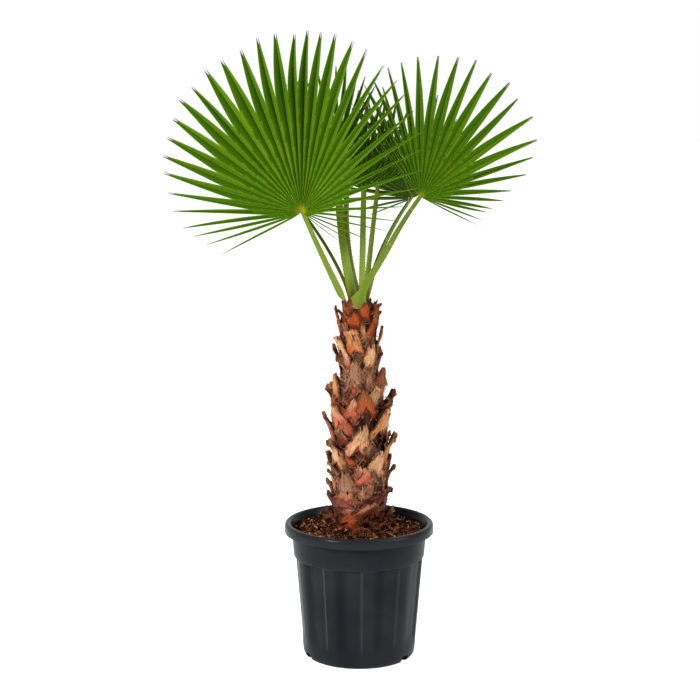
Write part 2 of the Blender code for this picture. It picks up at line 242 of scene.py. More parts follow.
# ---- Node materials ----
class Shader:
    """A node material in the making. Each method adds a node and hands back its output."""

    def __init__(self, name: str, roughness: float, specular: float = 0.5) -> None:
        """Starts a Principled material.

        Args:
            name: The material's name.
            roughness: Its plain roughness.
            specular: How strongly it shines head on, with 0.5 for common plastics.
        """
        self.material = bpy.data.materials.new(name)
        self.material.use_nodes = True
        self.nodes = self.material.node_tree.nodes
        self.surface = self.nodes["Principled BSDF"]
        self.surface.inputs["Roughness"].default_value = roughness
        self.surface.inputs["Specular IOR Level"].default_value = specular

    def feed(self, node: bpy.types.Node, key: str | int, value: object) -> None:
        """Links a socket to node's input, or sets the input if value is a number or colour."""
        socket = node.inputs[key]
        if isinstance(value, bpy.types.NodeSocket):
            self.material.node_tree.links.new(value, socket)
        elif isinstance(value, tuple) and len(socket.default_value) == 4:
            socket.default_value = (*value, 1)
        else:
            socket.default_value = value

    def node(
        self, kind: str, inputs: dict, output: str | int = 0, **settings: object
    ) -> bpy.types.NodeSocket:
        """Adds one node.

        Args:
            kind: The node's type name after "ShaderNode".
            inputs: Input key to a socket, number or colour.
            output: Which output to hand back.
            settings: The node's own options.

        Returns:
            The node's output socket.
        """
        made = self.nodes.new("ShaderNode" + kind)
        for key, value in settings.items():
            setattr(made, key, value)
        for key, value in inputs.items():
            self.feed(made, key, value)
        return made.outputs[output]

    def place(self) -> bpy.types.NodeSocket:
        """The point on the object, in metres."""
        return self.node("TexCoord", {}, "Object")

    def mark(self, label: str) -> bpy.types.NodeSocket:
        """The piece's own attribute of that name."""
        return self.node("Attribute", {}, "Color" if label == "tint" else "Vector", attribute_name=label)

    def parts(self, vector: bpy.types.NodeSocket) -> list[bpy.types.NodeSocket]:
        """The three numbers of a vector."""
        split = self.nodes.new("ShaderNodeSeparateXYZ")
        self.feed(split, 0, vector)
        return list(split.outputs)

    def stretch(self, vector: bpy.types.NodeSocket, scale: Point) -> bpy.types.NodeSocket:
        """The vector with its three numbers scaled."""
        return self.node("Mapping", {"Vector": vector, "Scale": scale})

    def noise(
        self, vector: object, scale: float, detail: float = 4, rough: float = 0.55
    ) -> bpy.types.NodeSocket:
        """Fractal noise from 0 to 1, mostly near 0.5."""
        return self.node("TexNoise", {"Vector": vector, "Scale": scale, "Detail": detail, "Roughness": rough})

    def cells(self, vector: object, scale: float) -> bpy.types.NodeSocket:
        """Distance to the nearest of scattered points."""
        return self.node("TexVoronoi", {"Vector": vector, "Scale": scale}, "Distance")

    def sums(self, operation: str, *values: object) -> bpy.types.NodeSocket:
        """Arithmetic on one, two or three numbers."""
        return self.node("Math", dict(enumerate(values)), operation=operation)

    def times(self, first: object, second: object) -> bpy.types.NodeSocket:
        """The product of two numbers."""
        return self.sums("MULTIPLY", first, second)

    def step(self, value: object, low: float, high: float) -> bpy.types.NodeSocket:
        """Rises smoothly from 0 at low to 1 at high, or falls where low is over high."""
        inputs = {"Value": value, "From Min": low, "From Max": high}
        return self.node("MapRange", inputs, interpolation_type="SMOOTHSTEP")

    def mix(self, share: object, first: object, second: object, how: str = "MIX") -> bpy.types.NodeSocket:
        """Goes from the first colour to the second as share goes from 0 to 1."""
        return self.node("Mix", {0: share, 6: first, 7: second}, 2, data_type="RGBA", blend_type=how)

    def wash(
        self,
        colour: object,
        over: object,
        value: object,
        low: float,
        high: float,
        most: float,
        how: str = "MIX",
    ) -> bpy.types.NodeSocket:
        """Lays a colour over another as a value goes from low to high.

        Args:
            colour: The colour below.
            over: The colour laid on it.
            value: What decides how much of it shows.
            low: Where none shows.
            high: Where it shows most.
            most: Its greatest share.
            how: The way the two mix.

        Returns:
            The mixed colour.
        """
        return self.mix(self.times(self.step(value, low, high), most), colour, over, how)

    def bump(
        self, height: object, distance: float, strength: float, under: object = None
    ) -> bpy.types.NodeSocket:
        """Turns a height of 0 to 1 into a tilted normal, over the one under it."""
        inputs = {"Height": height, "Distance": distance, "Strength": strength}
        if under is not None:
            inputs["Normal"] = under
        return self.node("Bump", inputs)

    def finish(self, colour: object, roughness: object = None, normal: object = None) -> bpy.types.Material:
        """Feeds the surface and hands back the material.

        Args:
            colour: The base colour.
            roughness: A socket, where it varies.
            normal: A bump's output.

        Returns:
            The finished material.
        """
        for key, value in (("Base Color", colour), ("Roughness", roughness), ("Normal", normal)):
            if value is not None:
                self.feed(self.surface, key, value)
        return self.material


@dataclass(frozen=True)
class PotPlastic:
    """Satin anthracite moulded plastic: a fine grain, a little dust, pale scuffs from handling, a lighter rim
    as painted highlight, painted shade on the flutes' slopes and painted highlights on their edges and along
    the collar's lower edge.
    """

    base: Colour = (0.0060, 0.0078, 0.0100)
    worn: Colour = (0.0120, 0.0135, 0.0150)
    # a lighter colour for the rim band: painted highlight
    rim: Colour = (0.0180, 0.0200, 0.0220)
    # painted shade for the flutes' slopes
    shade: Colour = (0.0010, 0.0015, 0.0022)
    # painted highlight for the flutes' edges and the collar's lower edge
    edge: Colour = (0.0300, 0.0330, 0.0360)
    dust: Colour = (0.110, 0.100, 0.085)
    grain: float = 900.0

    def material(self) -> bpy.types.Material:
        """Builds the plastic."""
        make = Shader("pot_plastic", 0.50, 0.055)
        at = make.place()
        height = make.parts(at)[2]
        cloud = make.noise(at, 9, 5)
        drawn = make.noise(make.stretch(at, (60, 60, 3)), 1, 6, 0.6)
        colour = make.mix(make.step(cloud, 0.35, 0.75), self.base, self.worn)
        # painted highlight: the rim band is made lighter than the body
        colour = make.wash(colour, self.rim, height, 0.285, 0.300, 0.4)
        # painted shade and painted highlight from the grain: shade on the flutes' slopes, light on their
        # edges and along the collar's lower edge
        slope, painted_edge_light, _ = make.parts(make.mark("grain"))
        colour = make.mix(make.times(slope, 0.50), colour, self.shade)
        colour = make.mix(make.times(painted_edge_light, 0.50), colour, self.edge)
        colour = make.wash(colour, self.worn, drawn, 0.62, 0.74, 0.5)
        spots = make.step(make.noise(at, 34, 3, 0.7), 0.77, 0.82)
        scuff = make.times(spots, make.step(height, 0.23, 0.26))
        colour = make.mix(scuff, colour, self.dust)
        ends = make.sums("MAXIMUM", make.step(height, 0.030, 0.0), make.step(height, 0.300, 0.320))
        settled = make.times(ends, make.step(cloud, 0.45, 0.8))
        colour = make.mix(make.times(settled, 0.12), colour, self.dust)
        rough = make.sums("MULTIPLY_ADD", cloud, 0.20, 0.28)
        rough = make.sums("MULTIPLY_ADD", make.step(height, 0.296, 0.306), -0.14, rough)
        fine = make.bump(make.noise(at, self.grain, 2), 0.0003, 0.12)
        wavy = make.bump(make.noise(at, 22, 2), 0.002, 0.10, fine)
        return make.finish(colour, rough, wavy)


@dataclass(frozen=True)
class PottingMix:
    """Moist peat with coir crumbs: dark peat with painted shade that makes the hollows near black, tan and
    orange on the crumbs.
    """

    wet_peat_and_hollow_shade: Colour = (0.0060, 0.0030, 0.0018)
    brown: Colour = (0.065, 0.028, 0.011)
    tan: Colour = (0.400, 0.190, 0.060)

    def material(self, name: str = "potting_mix", tinted: bool = False) -> bpy.types.Material:
        """Builds the soil.

        Args:
            name: The material's name.
            tinted: Whether the piece's own tint sets the colour, as on the loose crumbs.

        Returns:
            The finished material.
        """
        make = Shader(name, 0.95, 0.03)
        at = make.place()
        coarse = make.noise(at, 120, 6, 0.7)
        # painted shade: in both branches the low spots of coarse, which the bump makes hollows, turn near
        # black
        if tinted:
            colour = make.mix(make.step(coarse, 0.25, 0.60), self.wet_peat_and_hollow_shade, make.mark("tint"))
        else:
            colour = make.mix(make.step(coarse, 0.42, 0.60), self.wet_peat_and_hollow_shade, self.brown)
            fleck = make.step(make.noise(at, 330, 3, 0.8), 0.56, 0.68)
            patch = make.step(make.noise(at, 30, 4), 0.4, 0.6)
            colour = make.mix(make.times(fleck, patch), colour, self.tan)
        pits = make.bump(make.cells(at, 260), 0.003, 0.7)
        return make.finish(colour, None, make.bump(coarse, 0.002, 0.8, pits))


@dataclass(frozen=True)
class StemFibre:
    """The matted brown fibre between the husks: two crossing sets of threads over dark pith, whose near black
    is partly its own colour and partly painted shade in the gaps between the husks.
    """

    # partly the pith's own colour, partly painted shade for the gaps between the husks
    pith_and_gap_shade: Colour = light(34, 16, 9)
    thread: Colour = light(96, 58, 34)
    rust: Colour = light(84, 34, 15)
    threads: float = 112.0
    slopes: tuple[float, float] = (1500.0, -1250.0)

    def material(self) -> bpy.types.Material:
        """Builds the matting: a thread wherever sin(threads turn + slope height) is high, for two slopes."""
        make = Shader("stem_fibre", 0.9, 0.2)
        at = make.place()
        x, y, height = make.parts(at)
        turn = make.times(make.sums("ARCTAN2", y, x), self.threads)
        waver = make.times(make.noise(at, 45, 3), 9.0)
        sets = []
        for slope in self.slopes:
            wave = make.sums("ADD", make.sums("MULTIPLY_ADD", height, slope, turn), waver)
            sets.append(make.step(make.sums("SINE", wave), 0.1, 0.95))
        net = make.sums("MAXIMUM", *sets)
        under = make.mix(make.step(make.noise(at, 26, 4), 0.4, 0.65), self.pith_and_gap_shade, self.rust)
        shown = make.times(net, make.step(make.noise(at, 60, 4), 0.35, 0.7))
        colour = make.mix(shown, under, self.thread)
        return make.finish(colour, None, make.bump(net, 0.0012, 0.9))


@dataclass(frozen=True)
class HuskFinish:
    """Dried leaf base: its own tint, streaked lengthwise, with stains, pores and torn dark margins."""

    streaks: float = 13.0
    shade: Colour = light(84, 36, 16)
    pale: Colour = light(236, 212, 174)
    margin: Colour = light(44, 20, 10)

    def material(self) -> bpy.types.Material:
        """Builds the husk. Grain holds across, along and a number of the husk's own."""
        make = Shader("leaf_base_husk", 0.62, 0.12)
        grain, tint, at = make.mark("grain"), make.mark("tint"), make.place()
        across = make.parts(grain)[0]
        long = make.noise(make.stretch(grain, (self.streaks, 1.4, 40)), 1, 6, 0.65)
        fine = make.noise(make.stretch(grain, (self.streaks * 4, 3.0, 40)), 1, 5, 0.7)
        blotch, speck = make.noise(at, 60, 6, 0.7), make.noise(at, 420, 4, 0.7)
        colour = make.wash(tint, self.shade, long, 0.52, 0.37, 0.60)
        colour = make.wash(colour, self.pale, long, 0.54, 0.68, 0.40, "SOFT_LIGHT")
        colour = make.wash(colour, self.shade, fine, 0.50, 0.38, 0.60)
        seam = make.noise(make.stretch(grain, (self.streaks * 1.1, 0.8, 40)), 1, 3)
        crack = make.step(make.sums("ABSOLUTE", make.sums("SUBTRACT", seam, 0.5)), 0.022, 0.008)
        colour = make.mix(make.times(crack, 0.65), colour, self.margin)
        colour = make.wash(colour, self.shade, blotch, 0.54, 0.68, 0.40)
        colour = make.wash(colour, self.margin, speck, 0.60, 0.68, 0.40)
        torn = make.sums("MULTIPLY_ADD", make.sums("SUBTRACT", fine, 0.5), 1.3, make.sums("ABSOLUTE", across))
        torn = make.sums("MULTIPLY_ADD", make.sums("SUBTRACT", blotch, 0.5), 0.9, torn)
        colour = make.wash(colour, self.margin, torn, 0.74, 1.05, 0.80)
        rough = make.sums("MULTIPLY_ADD", blotch, 0.35, 0.40)
        ridge = make.bump(long, 0.0016, 0.6)
        return make.finish(colour, rough, make.bump(fine, 0.0009, 0.6, ridge))


@dataclass(frozen=True)
class StalkFinish:
    """Smooth green stalk: lengthwise lines, a paler keel, red-brown toothed margins and a tawny base."""

    green: Colour = (0.075, 0.150, 0.004)
    pale: Colour = (0.200, 0.255, 0.024)
    dark: Colour = (0.036, 0.078, 0.003)
    margin: Colour = (0.200, 0.060, 0.012)

    def material(self) -> bpy.types.Material:
        """Builds the stalk. Grain holds across, along and a tone of the stalk's own."""
        make = Shader("leaf_stalk", 0.42, 0.12)
        grain = make.mark("grain")
        across, along, tone = make.parts(grain)
        lines = make.noise(make.stretch(grain, (22, 2.2, 9)), 1, 4)
        colour = make.mix(make.step(lines, 0.35, 0.68), self.green, self.pale)
        colour = make.mix(tone, colour, self.dark)
        edge = make.step(make.sums("ABSOLUTE", across), 0.86, 0.99)
        colour = make.mix(make.times(edge, make.step(along, 0.95, 0.45)), colour, self.margin)
        tawny = make.times(make.step(along, 0.10, 0.0), make.step(lines, 0.35, 0.6))
        colour = make.mix(make.times(tawny, 0.7), colour, self.margin)
        return make.finish(colour, None, make.bump(lines, 0.0006, 0.35))


@dataclass(frozen=True)
class BladeFinish:
    """Pleated leaf: fingers with painted shade on their left halves, pale ribs and folds, veins, a yellow
    hub, dry tips.
    """

    bright: Colour = (0.066, 0.138, 0.002)
    deep: Colour = (0.016, 0.060, 0.000)
    rib: Colour = (0.178, 0.282, 0.034)
    hub: Colour = (0.230, 0.190, 0.004)
    under: Colour = (0.100, 0.180, 0.036)
    dry: Colour = (0.060, 0.052, 0.014)

    def material(self, name: str, dull: float) -> bpy.types.Material:
        """Builds one side of the blade. Grain holds across, along and the finger's tone.

        Args:
            name: The material's name.
            dull: How far the side goes to the underside's duller green.

        Returns:
            The finished material.
        """
        make = Shader(name, 0.45 + 0.15 * dull, 0.004)
        across, along, tone = make.parts(make.mark("grain"))
        off = make.sums("ABSOLUTE", across)
        cloud = make.noise(make.place(), 14, 4)
        share = make.sums("MULTIPLY_ADD", tone, 0.6, make.sums("MULTIPLY_ADD", cloud, 0.8, -0.1))
        # painted shade: the left half of each finger is pushed towards the deep green
        share = make.times(share, make.sums("MULTIPLY_ADD", make.step(across, -0.06, 0.06), 0.72, 0.28))
        colour = make.mix(share, self.deep, self.bright)
        colour = make.mix(dull, colour, self.under)
        veins = make.sums("SINE", make.times(off, 44.0))
        colour = make.wash(colour, self.rib, veins, 0.2, 1.0, 0.10)
        lines = make.sums("MAXIMUM", make.step(off, 0.10, 0.02), make.step(off, 0.93, 0.99))
        inner = make.step(along, 0.75, 0.3)
        colour = make.mix(make.times(lines, make.sums("MULTIPLY_ADD", inner, 0.30, 0.38)), colour, self.rib)
        colour = make.mix(make.step(along, 0.060, 0.0), colour, self.hub)
        end = make.sums("MULTIPLY_ADD", make.noise(make.place(), 50, 2), 0.06, along)
        colour = make.mix(make.step(end, 0.985, 1.03), colour, self.dry)
        return make.finish(colour, None, make.bump(veins, 0.0002, 0.10))


@dataclass(frozen=True)
class ThreadFinish:
    """Loose dry fibre, in the piece's own tint, worn darker in places."""

    dark: Colour = light(60, 40, 26)

    def material(self) -> bpy.types.Material:
        """Builds the fibre."""
        make = Shader("loose_fibre", 0.8, 0.3)
        worn = make.noise(make.place(), 90, 3)
        return make.finish(make.wash(make.mark("tint"), self.dark, worn, 0.4, 0.7, 0.5))


# ---- Husk colours ----
class HuskTone(Enum):
    """The colours of a husk at its foot, its middle and its stub."""

    EMBER = (light(92, 22, 6), light(192, 90, 20), light(150, 76, 26))
    RUST = (light(108, 38, 14), light(174, 86, 36), light(140, 84, 44))
    OCHRE = (light(184, 88, 52), light(188, 132, 78), light(194, 150, 98))
    CREAM = (light(186, 96, 80), light(206, 166, 124), light(210, 176, 134))
    ROSE = (light(164, 50, 48), light(190, 104, 84), light(196, 154, 120))
    CLAY = (light(166, 60, 32), light(186, 106, 66), light(172, 126, 86))
    GREY = (light(126, 82, 66), light(156, 124, 102), light(142, 110, 84))
    PLUM = (light(104, 36, 34), light(124, 72, 64), light(110, 76, 60))
    BARK = (light(62, 30, 16), light(104, 60, 34), light(86, 54, 34))


TONES = {
    "E": HuskTone.EMBER,
    "K": HuskTone.RUST,
    "O": HuskTone.OCHRE,
    "C": HuskTone.CREAM,
    "R": HuskTone.ROSE,
    "L": HuskTone.CLAY,
    "G": HuskTone.GREY,
    "P": HuskTone.PLUM,
    "B": HuskTone.BARK,
}


@dataclass(frozen=True)
class HuskStains:
    """The colours that weather lays over a husk's own tone."""

    torn: Colour = light(58, 29, 15)
    frayed: Colour = light(206, 170, 128)
    charred: Colour = light(72, 42, 25)
    inner: Colour = light(110, 62, 34)


# ---- Pot and soil ----
@dataclass
class NurseryPot:
    """The moulded pot: a rolled rim, a plain collar, ten shallow flutes and a foot with three drain gaps."""

    rim: float = 0.175
    height: float = 0.32
    flutes: int = 10
    flute_depth: float = 0.0042
    flute_turn: float = math.radians(-86)
    wall: float = 0.0025
    floor: float = 0.004
    body_top: float = 0.240
    foot: float = 0.133
    body_high: float = 0.1505
    throat: float = 0.1575
    drain_turn: float = 85.0
    drain_size: Point = (0.034, 0.026, 0.021)
    drain_place: Point = (0.130, 0, 0.0055)
    sides: int = 360

    def body(self, height: float) -> float:
        """The outer radius between foot and collar: a straight taper."""
        return self.foot + (self.body_high - self.foot) * (height - 0.03) / (self.body_top - 0.03)

    def inside(self, height: float) -> float:
        """The inner radius: the body's less the flutes and the wall, then a taper to the rim."""
        low = self.body(min(height, self.body_top)) - self.flute_depth - self.wall
        return low + (self.throat - low) * max(0.0, (height - self.body_top) / (self.height - self.body_top))

    def profile(self) -> list[Point]:
        """Radius, height and flute share up the outside and down the inside, each corner a short arc."""
        top, step, floor = self.height, self.body_top, self.inside(self.floor)
        base = [(0.0, 0.0, 0), (0.06, 0.0, 0), (0.119, 0.0, 0), (0.1225, 0.0004, 0), (0.1262, 0.0022, 0)]
        base += [(0.1288, 0.0052, 0), (0.1306, 0.0092, 0), (0.1318, 0.0150, 0), (0.1325, 0.0215, 0)]
        base += [(self.foot - 0.0001, 0.0265, 0), (self.foot + 0.0001, 0.0292, 0)]
        body = [(self.body(h), h, float(ease(0.029, 0.062, h))) for h in np.linspace(0.033, 0.062, 8)]
        body += [(self.body(h), h, 1) for h in np.linspace(0.075, step - 0.0032, 10)]
        body += [(self.body(step) - 0.0004, step - 0.0012, 1), (self.body_high, step, 0.6)]
        collar = [(0.1516, step + 0.0004, 0), (0.1528, step + 0.0012, 0), (0.1535, step + 0.0028, 0)]
        collar += [(0.1545, 0.256, 0), (0.1556, 0.270, 0), (0.1566, 0.283, 0), (0.1572, top - 0.0248, 0)]
        rim = [(0.1582, top - 0.0238, 0), (0.1600, top - 0.0235, 0), (0.1715, top - 0.0237, 0)]
        rim += [(0.1732, top - 0.0236, 0), (0.1743, top - 0.0229, 0), (self.rim, top - 0.0214, 0)]
        rim += [(self.rim, top - 0.0150, 0), (0.1747, top - 0.0090, 0), (0.1740, top - 0.0052, 0)]
        rim += [(0.1727, top - 0.0026, 0), (0.1706, top - 0.0009, 0), (0.1680, top, 0)]
        rim += [(0.1652, top - 0.0002, 0), (0.1628, top - 0.0010, 0), (0.1608, top - 0.0026, 0)]
        rim += [(0.1594, top - 0.0048, 0), (0.1584, top - 0.0078, 0)]
        inner = [(self.inside(h), float(h), 0) for h in (0.309, *np.linspace(0.300, step, 6), 0.12)]
        inner += [(floor - 0.001, self.floor + 0.0006, 0), (floor - 0.002, self.floor, 0)]
        inner += [(0.06, self.floor, 0), (0.0, self.floor, 0)]
        return base + body + collar + rim + inner

    def shape(self) -> tuple[Array, Array]:
        """Turns the profile about the axis, less the flute at that turn, which sinks slowly and rises fast.

        Returns:
            The points, and a grain that holds how much painted shade each gets on a flute's slope and how
            much painted highlight on a flute's edge or along the collar's lower edge.
        """
        radius, height, share = (np.array(column)[:, None] for column in zip(*self.profile()))
        turn = np.arange(self.sides) * 2 * np.pi / self.sides
        phase = self.flutes * (turn - self.flute_turn) / (2 * np.pi) % 1
        sink, rise = ease(0.18, 0.62, phase), ease(0.90, 1.0, phase)
        radius = radius - share * self.flute_depth * sink * (1 - rise)
        # painted highlight on each flute's sharp rise and along the collar's lower edge
        painted_edge_light = share * 4 * rise * (1 - rise) + 0.8 * np.exp(-(((height - self.body_top) / 0.0016) ** 2))
        # the grain's first number is painted shade on each flute's slow sinking slope
        grain = np.broadcast_arrays(share * 4 * sink * (1 - sink), painted_edge_light, 0.0)
        return upright(radius, turn, height), np.stack(grain, axis=-1)

    def cut(self, pot: bpy.types.Object) -> None:
        """Cuts the three drain gaps through the corner of the foot."""
        blocks = bpy.data.meshes.new("drain_blocks")
        bm = bmesh.new()
        for number in range(3):
            turn = math.radians(self.drain_turn + 120 * number)
            made = bmesh.ops.create_cube(bm, size=1)["verts"]
            bmesh.ops.scale(bm, vec=self.drain_size, verts=made)
            bmesh.ops.translate(bm, vec=self.drain_place, verts=made)
            bmesh.ops.rotate(bm, cent=(0, 0, 0), matrix=Matrix.Rotation(turn, 3, "Z"), verts=made)
        bmesh.ops.bevel(bm, geom=bm.edges, offset=0.003, segments=3, affect="EDGES")
        bm.to_mesh(blocks)
        bm.free()
        cutter = new_object("drain_blocks", blocks)
        gap = pot.modifiers.new("drains", "BOOLEAN")
        gap.operation = "DIFFERENCE"
        gap.object = cutter
        solved = bpy.data.meshes.new_from_object(pot.evaluated_get(bpy.context.evaluated_depsgraph_get()))
        pot.modifiers.clear()
        pot.data = solved
        pot.data.name = pot.name
        bpy.data.objects.remove(cutter)

    def build(self) -> None:
        """Makes, cuts and dresses the pot."""
        skin = Skin()
        skin.add(*self.shape(), around=True)
        pot = skin.finish("pot_shell", [PotPlastic().material()], 32)
        self.cut(pot)
        dress(pot, "pot_plastic", "nursery_pot")


@dataclass
class PottingSoil:
    """The soil: a crumbly mound that meets the pot's wall, with loose crumbs and bark chips lying on it."""

    pot: NurseryPot
    top: float = 0.302
    rise: float = 0.010
    gap: float = 0.0006
    pocket: float = 0.0536
    pocket_floor: float = 0.2147
    crumbs: int = 3400
    crumb_least: float = 0.0010
    crumb_more: float = 0.0034
    scraps: int = 44
    scrap_lengths: Span = (0.006, 0.016)
    scrap_widths: Span = (0.0022, 0.0055)
    scrap_wall: float = 0.0012
    scrap_order: str = "GBKBGLBP"
    crumb_colours: tuple[Colour, ...] = (
        light(52, 29, 16), light(108, 63, 33), light(168, 106, 56), light(218, 162, 104), light(24, 14, 9)
    )

    def surface(self, turn: Array, radius: Array) -> Array:
        """The soil's height: a rise to the stem, swells and small crumbs, each a sum of crossed waves."""
        x, y = radius * np.cos(turn), radius * np.sin(turn)
        level = self.top + self.rise * (1 - ease(0.055, 0.150, radius))
        swell = np.sin(x * 61 + 1.3) * np.sin(y * 53 + 0.4) + 0.6 * np.sin(x * 118 - y * 87)
        small = np.sin(x * 511 + 3 * np.sin(y * 233)) * np.sin(y * 467 + 3 * np.sin(x * 301))
        tiny = np.sin(x * 1130 + 2 * np.sin(y * 890)) * np.sin(y * 1010 + 2 * np.sin(x * 770))
        return level + 0.0028 * swell + 0.0022 * small + 0.0012 * tiny

    def build(self) -> None:
        """Makes the mound, then the crumbs and scraps on it."""
        turn = np.arange(300) * 2 * np.pi / 300
        wall = self.pot.inside(self.top) - self.gap
        radius = np.linspace(wall, self.pocket, 46)[:, None]
        height = self.surface(turn, radius)
        height[-1] = height[-1].mean()
        below = [(0.0, self.pot.floor + self.gap), (0.112, self.pot.floor + self.gap)]
        below += [(self.pot.inside(0.018) - self.gap, 0.018), (self.pot.inside(0.24) - self.gap, 0.24)]
        pit = [(self.pocket, self.pocket_floor), (0.0, self.pocket_floor)]
        rows = [upright(r, turn, h) for r, h in (*below, *zip(radius, height), *pit)]
        skin = Skin()
        skin.add(np.array(rows), (0, 0, 0), around=True)
        dress(skin.finish("soil_mound", [PottingMix().material()], 60), "potting_soil", "potting_soil")
        self.scatter(wall)
        self.litter()

    def scatter(self, wall: float) -> None:
        """Strews crumbs: squashed balls of uneven radius, most of them small, some long as bark chips.

        Args:
            wall: The mound's outer radius.
        """
        rng = np.random.default_rng(5)
        count = self.crumbs
        radius = np.sqrt(rng.uniform(0.058**2, (wall - 0.006) ** 2, count))
        turn = rng.uniform(0, 2 * np.pi, count)
        size = self.crumb_least + self.crumb_more * rng.uniform(0, 1, count) ** 3
        long = 1 + 2.2 * rng.uniform(0, 1, count) ** 3
        flat = rng.uniform(0.4, 0.9, count)
        scale = np.stack((size * long, size * rng.uniform(0.6, 1.0, count), size * flat), -1)
        rings, sides = 5, 6
        down = np.linspace(0, np.pi, rings)[:, None]
        ball = upright(np.sin(down), np.arange(sides) * 2 * np.pi / sides, -np.cos(down))
        rough = 1 + 0.48 * rng.uniform(-1, 1, (count, rings, sides, 1))
        rough[:, 0] = rough[:, 0, :1]
        rough[:, -1] = rough[:, -1, :1]
        x, y, z = np.moveaxis(ball * rough * scale[:, None, None], -1, 0)
        spin = rng.uniform(0, 2 * np.pi, (count, 1, 1))
        z, x = turned(z, x, rng.uniform(-0.8, 0.8, (count, 1, 1)))
        x, y = turned(x, y, spin)
        middle = upright(radius, turn, self.surface(turn, radius) + 0.25 * size)
        tint = draw_tints(rng, self.crumb_colours, (0.31, 0.28, 0.13, 0.025, 0.255), count)
        skin = Skin()
        skin.add(np.stack((x, y, z), -1) + middle[:, None, None], (0, 0, 0), tint, around=True)
        material = PottingMix().material("soil_crumb", True)
        dress(skin.finish("soil_crumbs", [material], 80), "potting_soil")

    def litter(self) -> None:
        """Lays fallen husk scraps round the stem: strips bent to an arc, cupped across and tilted."""
        rng = np.random.default_rng(31)
        skin = Skin()
        u, v = np.linspace(-1, 1, 7), np.linspace(-1, 1, 12)[:, None]
        for number in range(self.scraps):
            long, wide = rng.uniform(*self.scrap_lengths), rng.uniform(*self.scrap_widths)
            bend, cup, tilt, spin, rock = rng.uniform((0.3, -0.8, -0.5, 0, -0.5), (1.5, 0.8, 0.5, 6.3, 0.5))
            edge = wide * (1 - 0.6 * np.abs(v) ** 3) * (1 + 0.25 * ripple(v * 5 + u, number))
            arc = long * (1 - np.cos(v * bend)) / bend
            x, z = turned(long * np.sin(v * bend) / bend, arc * np.sign(cup) + cup * 0.4 * wide * u**2, tilt)
            y, z = turned(u * edge, z, rock)
            x, y = turned(x, y, spin)
            turn = rng.uniform(0, 2 * np.pi)
            radius = 0.062 + 0.045 * rng.uniform() ** 1.6
            level = self.surface(np.array(turn), np.array(radius)) + 0.0045 + 0.4 * long * abs(math.sin(tilt))
            points = np.stack(np.broadcast_arrays(x, y, z), -1) + upright(radius, turn, level)
            tone = TONES[self.scrap_order[number % len(self.scrap_order)]]
            grain = np.stack(np.broadcast_arrays(u * 0.6, v * 0.5 + 0.5, number * 1.7), -1)
            skin.add(points, grain, np.array(tone.value[1]) * 0.42)
        piece = skin.finish("soil_litter", [HuskFinish().material()], 60)
        thicken(piece, self.scrap_wall)
        dress(piece, "leaf_base_husk")


# ---- Stem and husks ----
@dataclass
class PalmStem:
    """The fibrous stem: stout under its shoulder, slimmer over it, a little drawn in at the crown."""

    foot: float = 0.215
    top: float = 0.836
    low: float = 0.053
    high: float = 0.034
    shoulder: float = 0.635
    shoulder_rise: float = 0.012
    crown: float = 0.76
    crown_taper: float = 0.001
    knot: float = 0.0016
    sides: int = 96

    def radius(self, height: Array) -> Array:
        """The low radius, less a smooth step at the shoulder, less a short taper at the crown."""
        step = 1 / (1 + np.exp(-(height - self.shoulder) / self.shoulder_rise))
        crown = np.clip((height - self.crown) / (self.top - self.crown), 0, None)
        return self.low + (self.high - self.low) * step - self.crown_taper * crown

    def build(self) -> None:
        """Makes the stem: its radius less shallow knots, drawn in to a point below and domed above."""
        turn = np.arange(self.sides) * 2 * np.pi / self.sides
        buried = [self.foot, self.foot, self.foot + 0.01]
        height = np.concatenate((buried, np.linspace(0.285, self.top - 0.001, 120)))
        radius = self.radius(np.maximum(height, 0.297))
        radius[0], radius[1] = 0.0, radius[1] - 0.002
        rows = radius[:, None] * np.ones(self.sides)
        up = height[:, None]
        knots = 0.5 + 0.5 * np.sin(turn * 23 + up * 190) * np.sin(turn * 17 - up * 260)
        rows -= np.where(up > 0.3, self.knot * knots, 0)
        rows[0] = 0
        cap = np.array(((0.86, 0.004), (0.62, 0.009), (0.3, 0.013), (0.0, 0.014)))
        rows = np.concatenate((rows, rows[-1] * cap[:, :1]))
        height = np.concatenate((height, self.top - 0.001 + cap[:, 1]))[:, None]
        skin = Skin()
        skin.add(upright(rows, turn, height), (0, 0, 0), around=True)
        dress(skin.finish("stem_core", [StemFibre().material()], 80), "stem_fibre", "palm_stem")


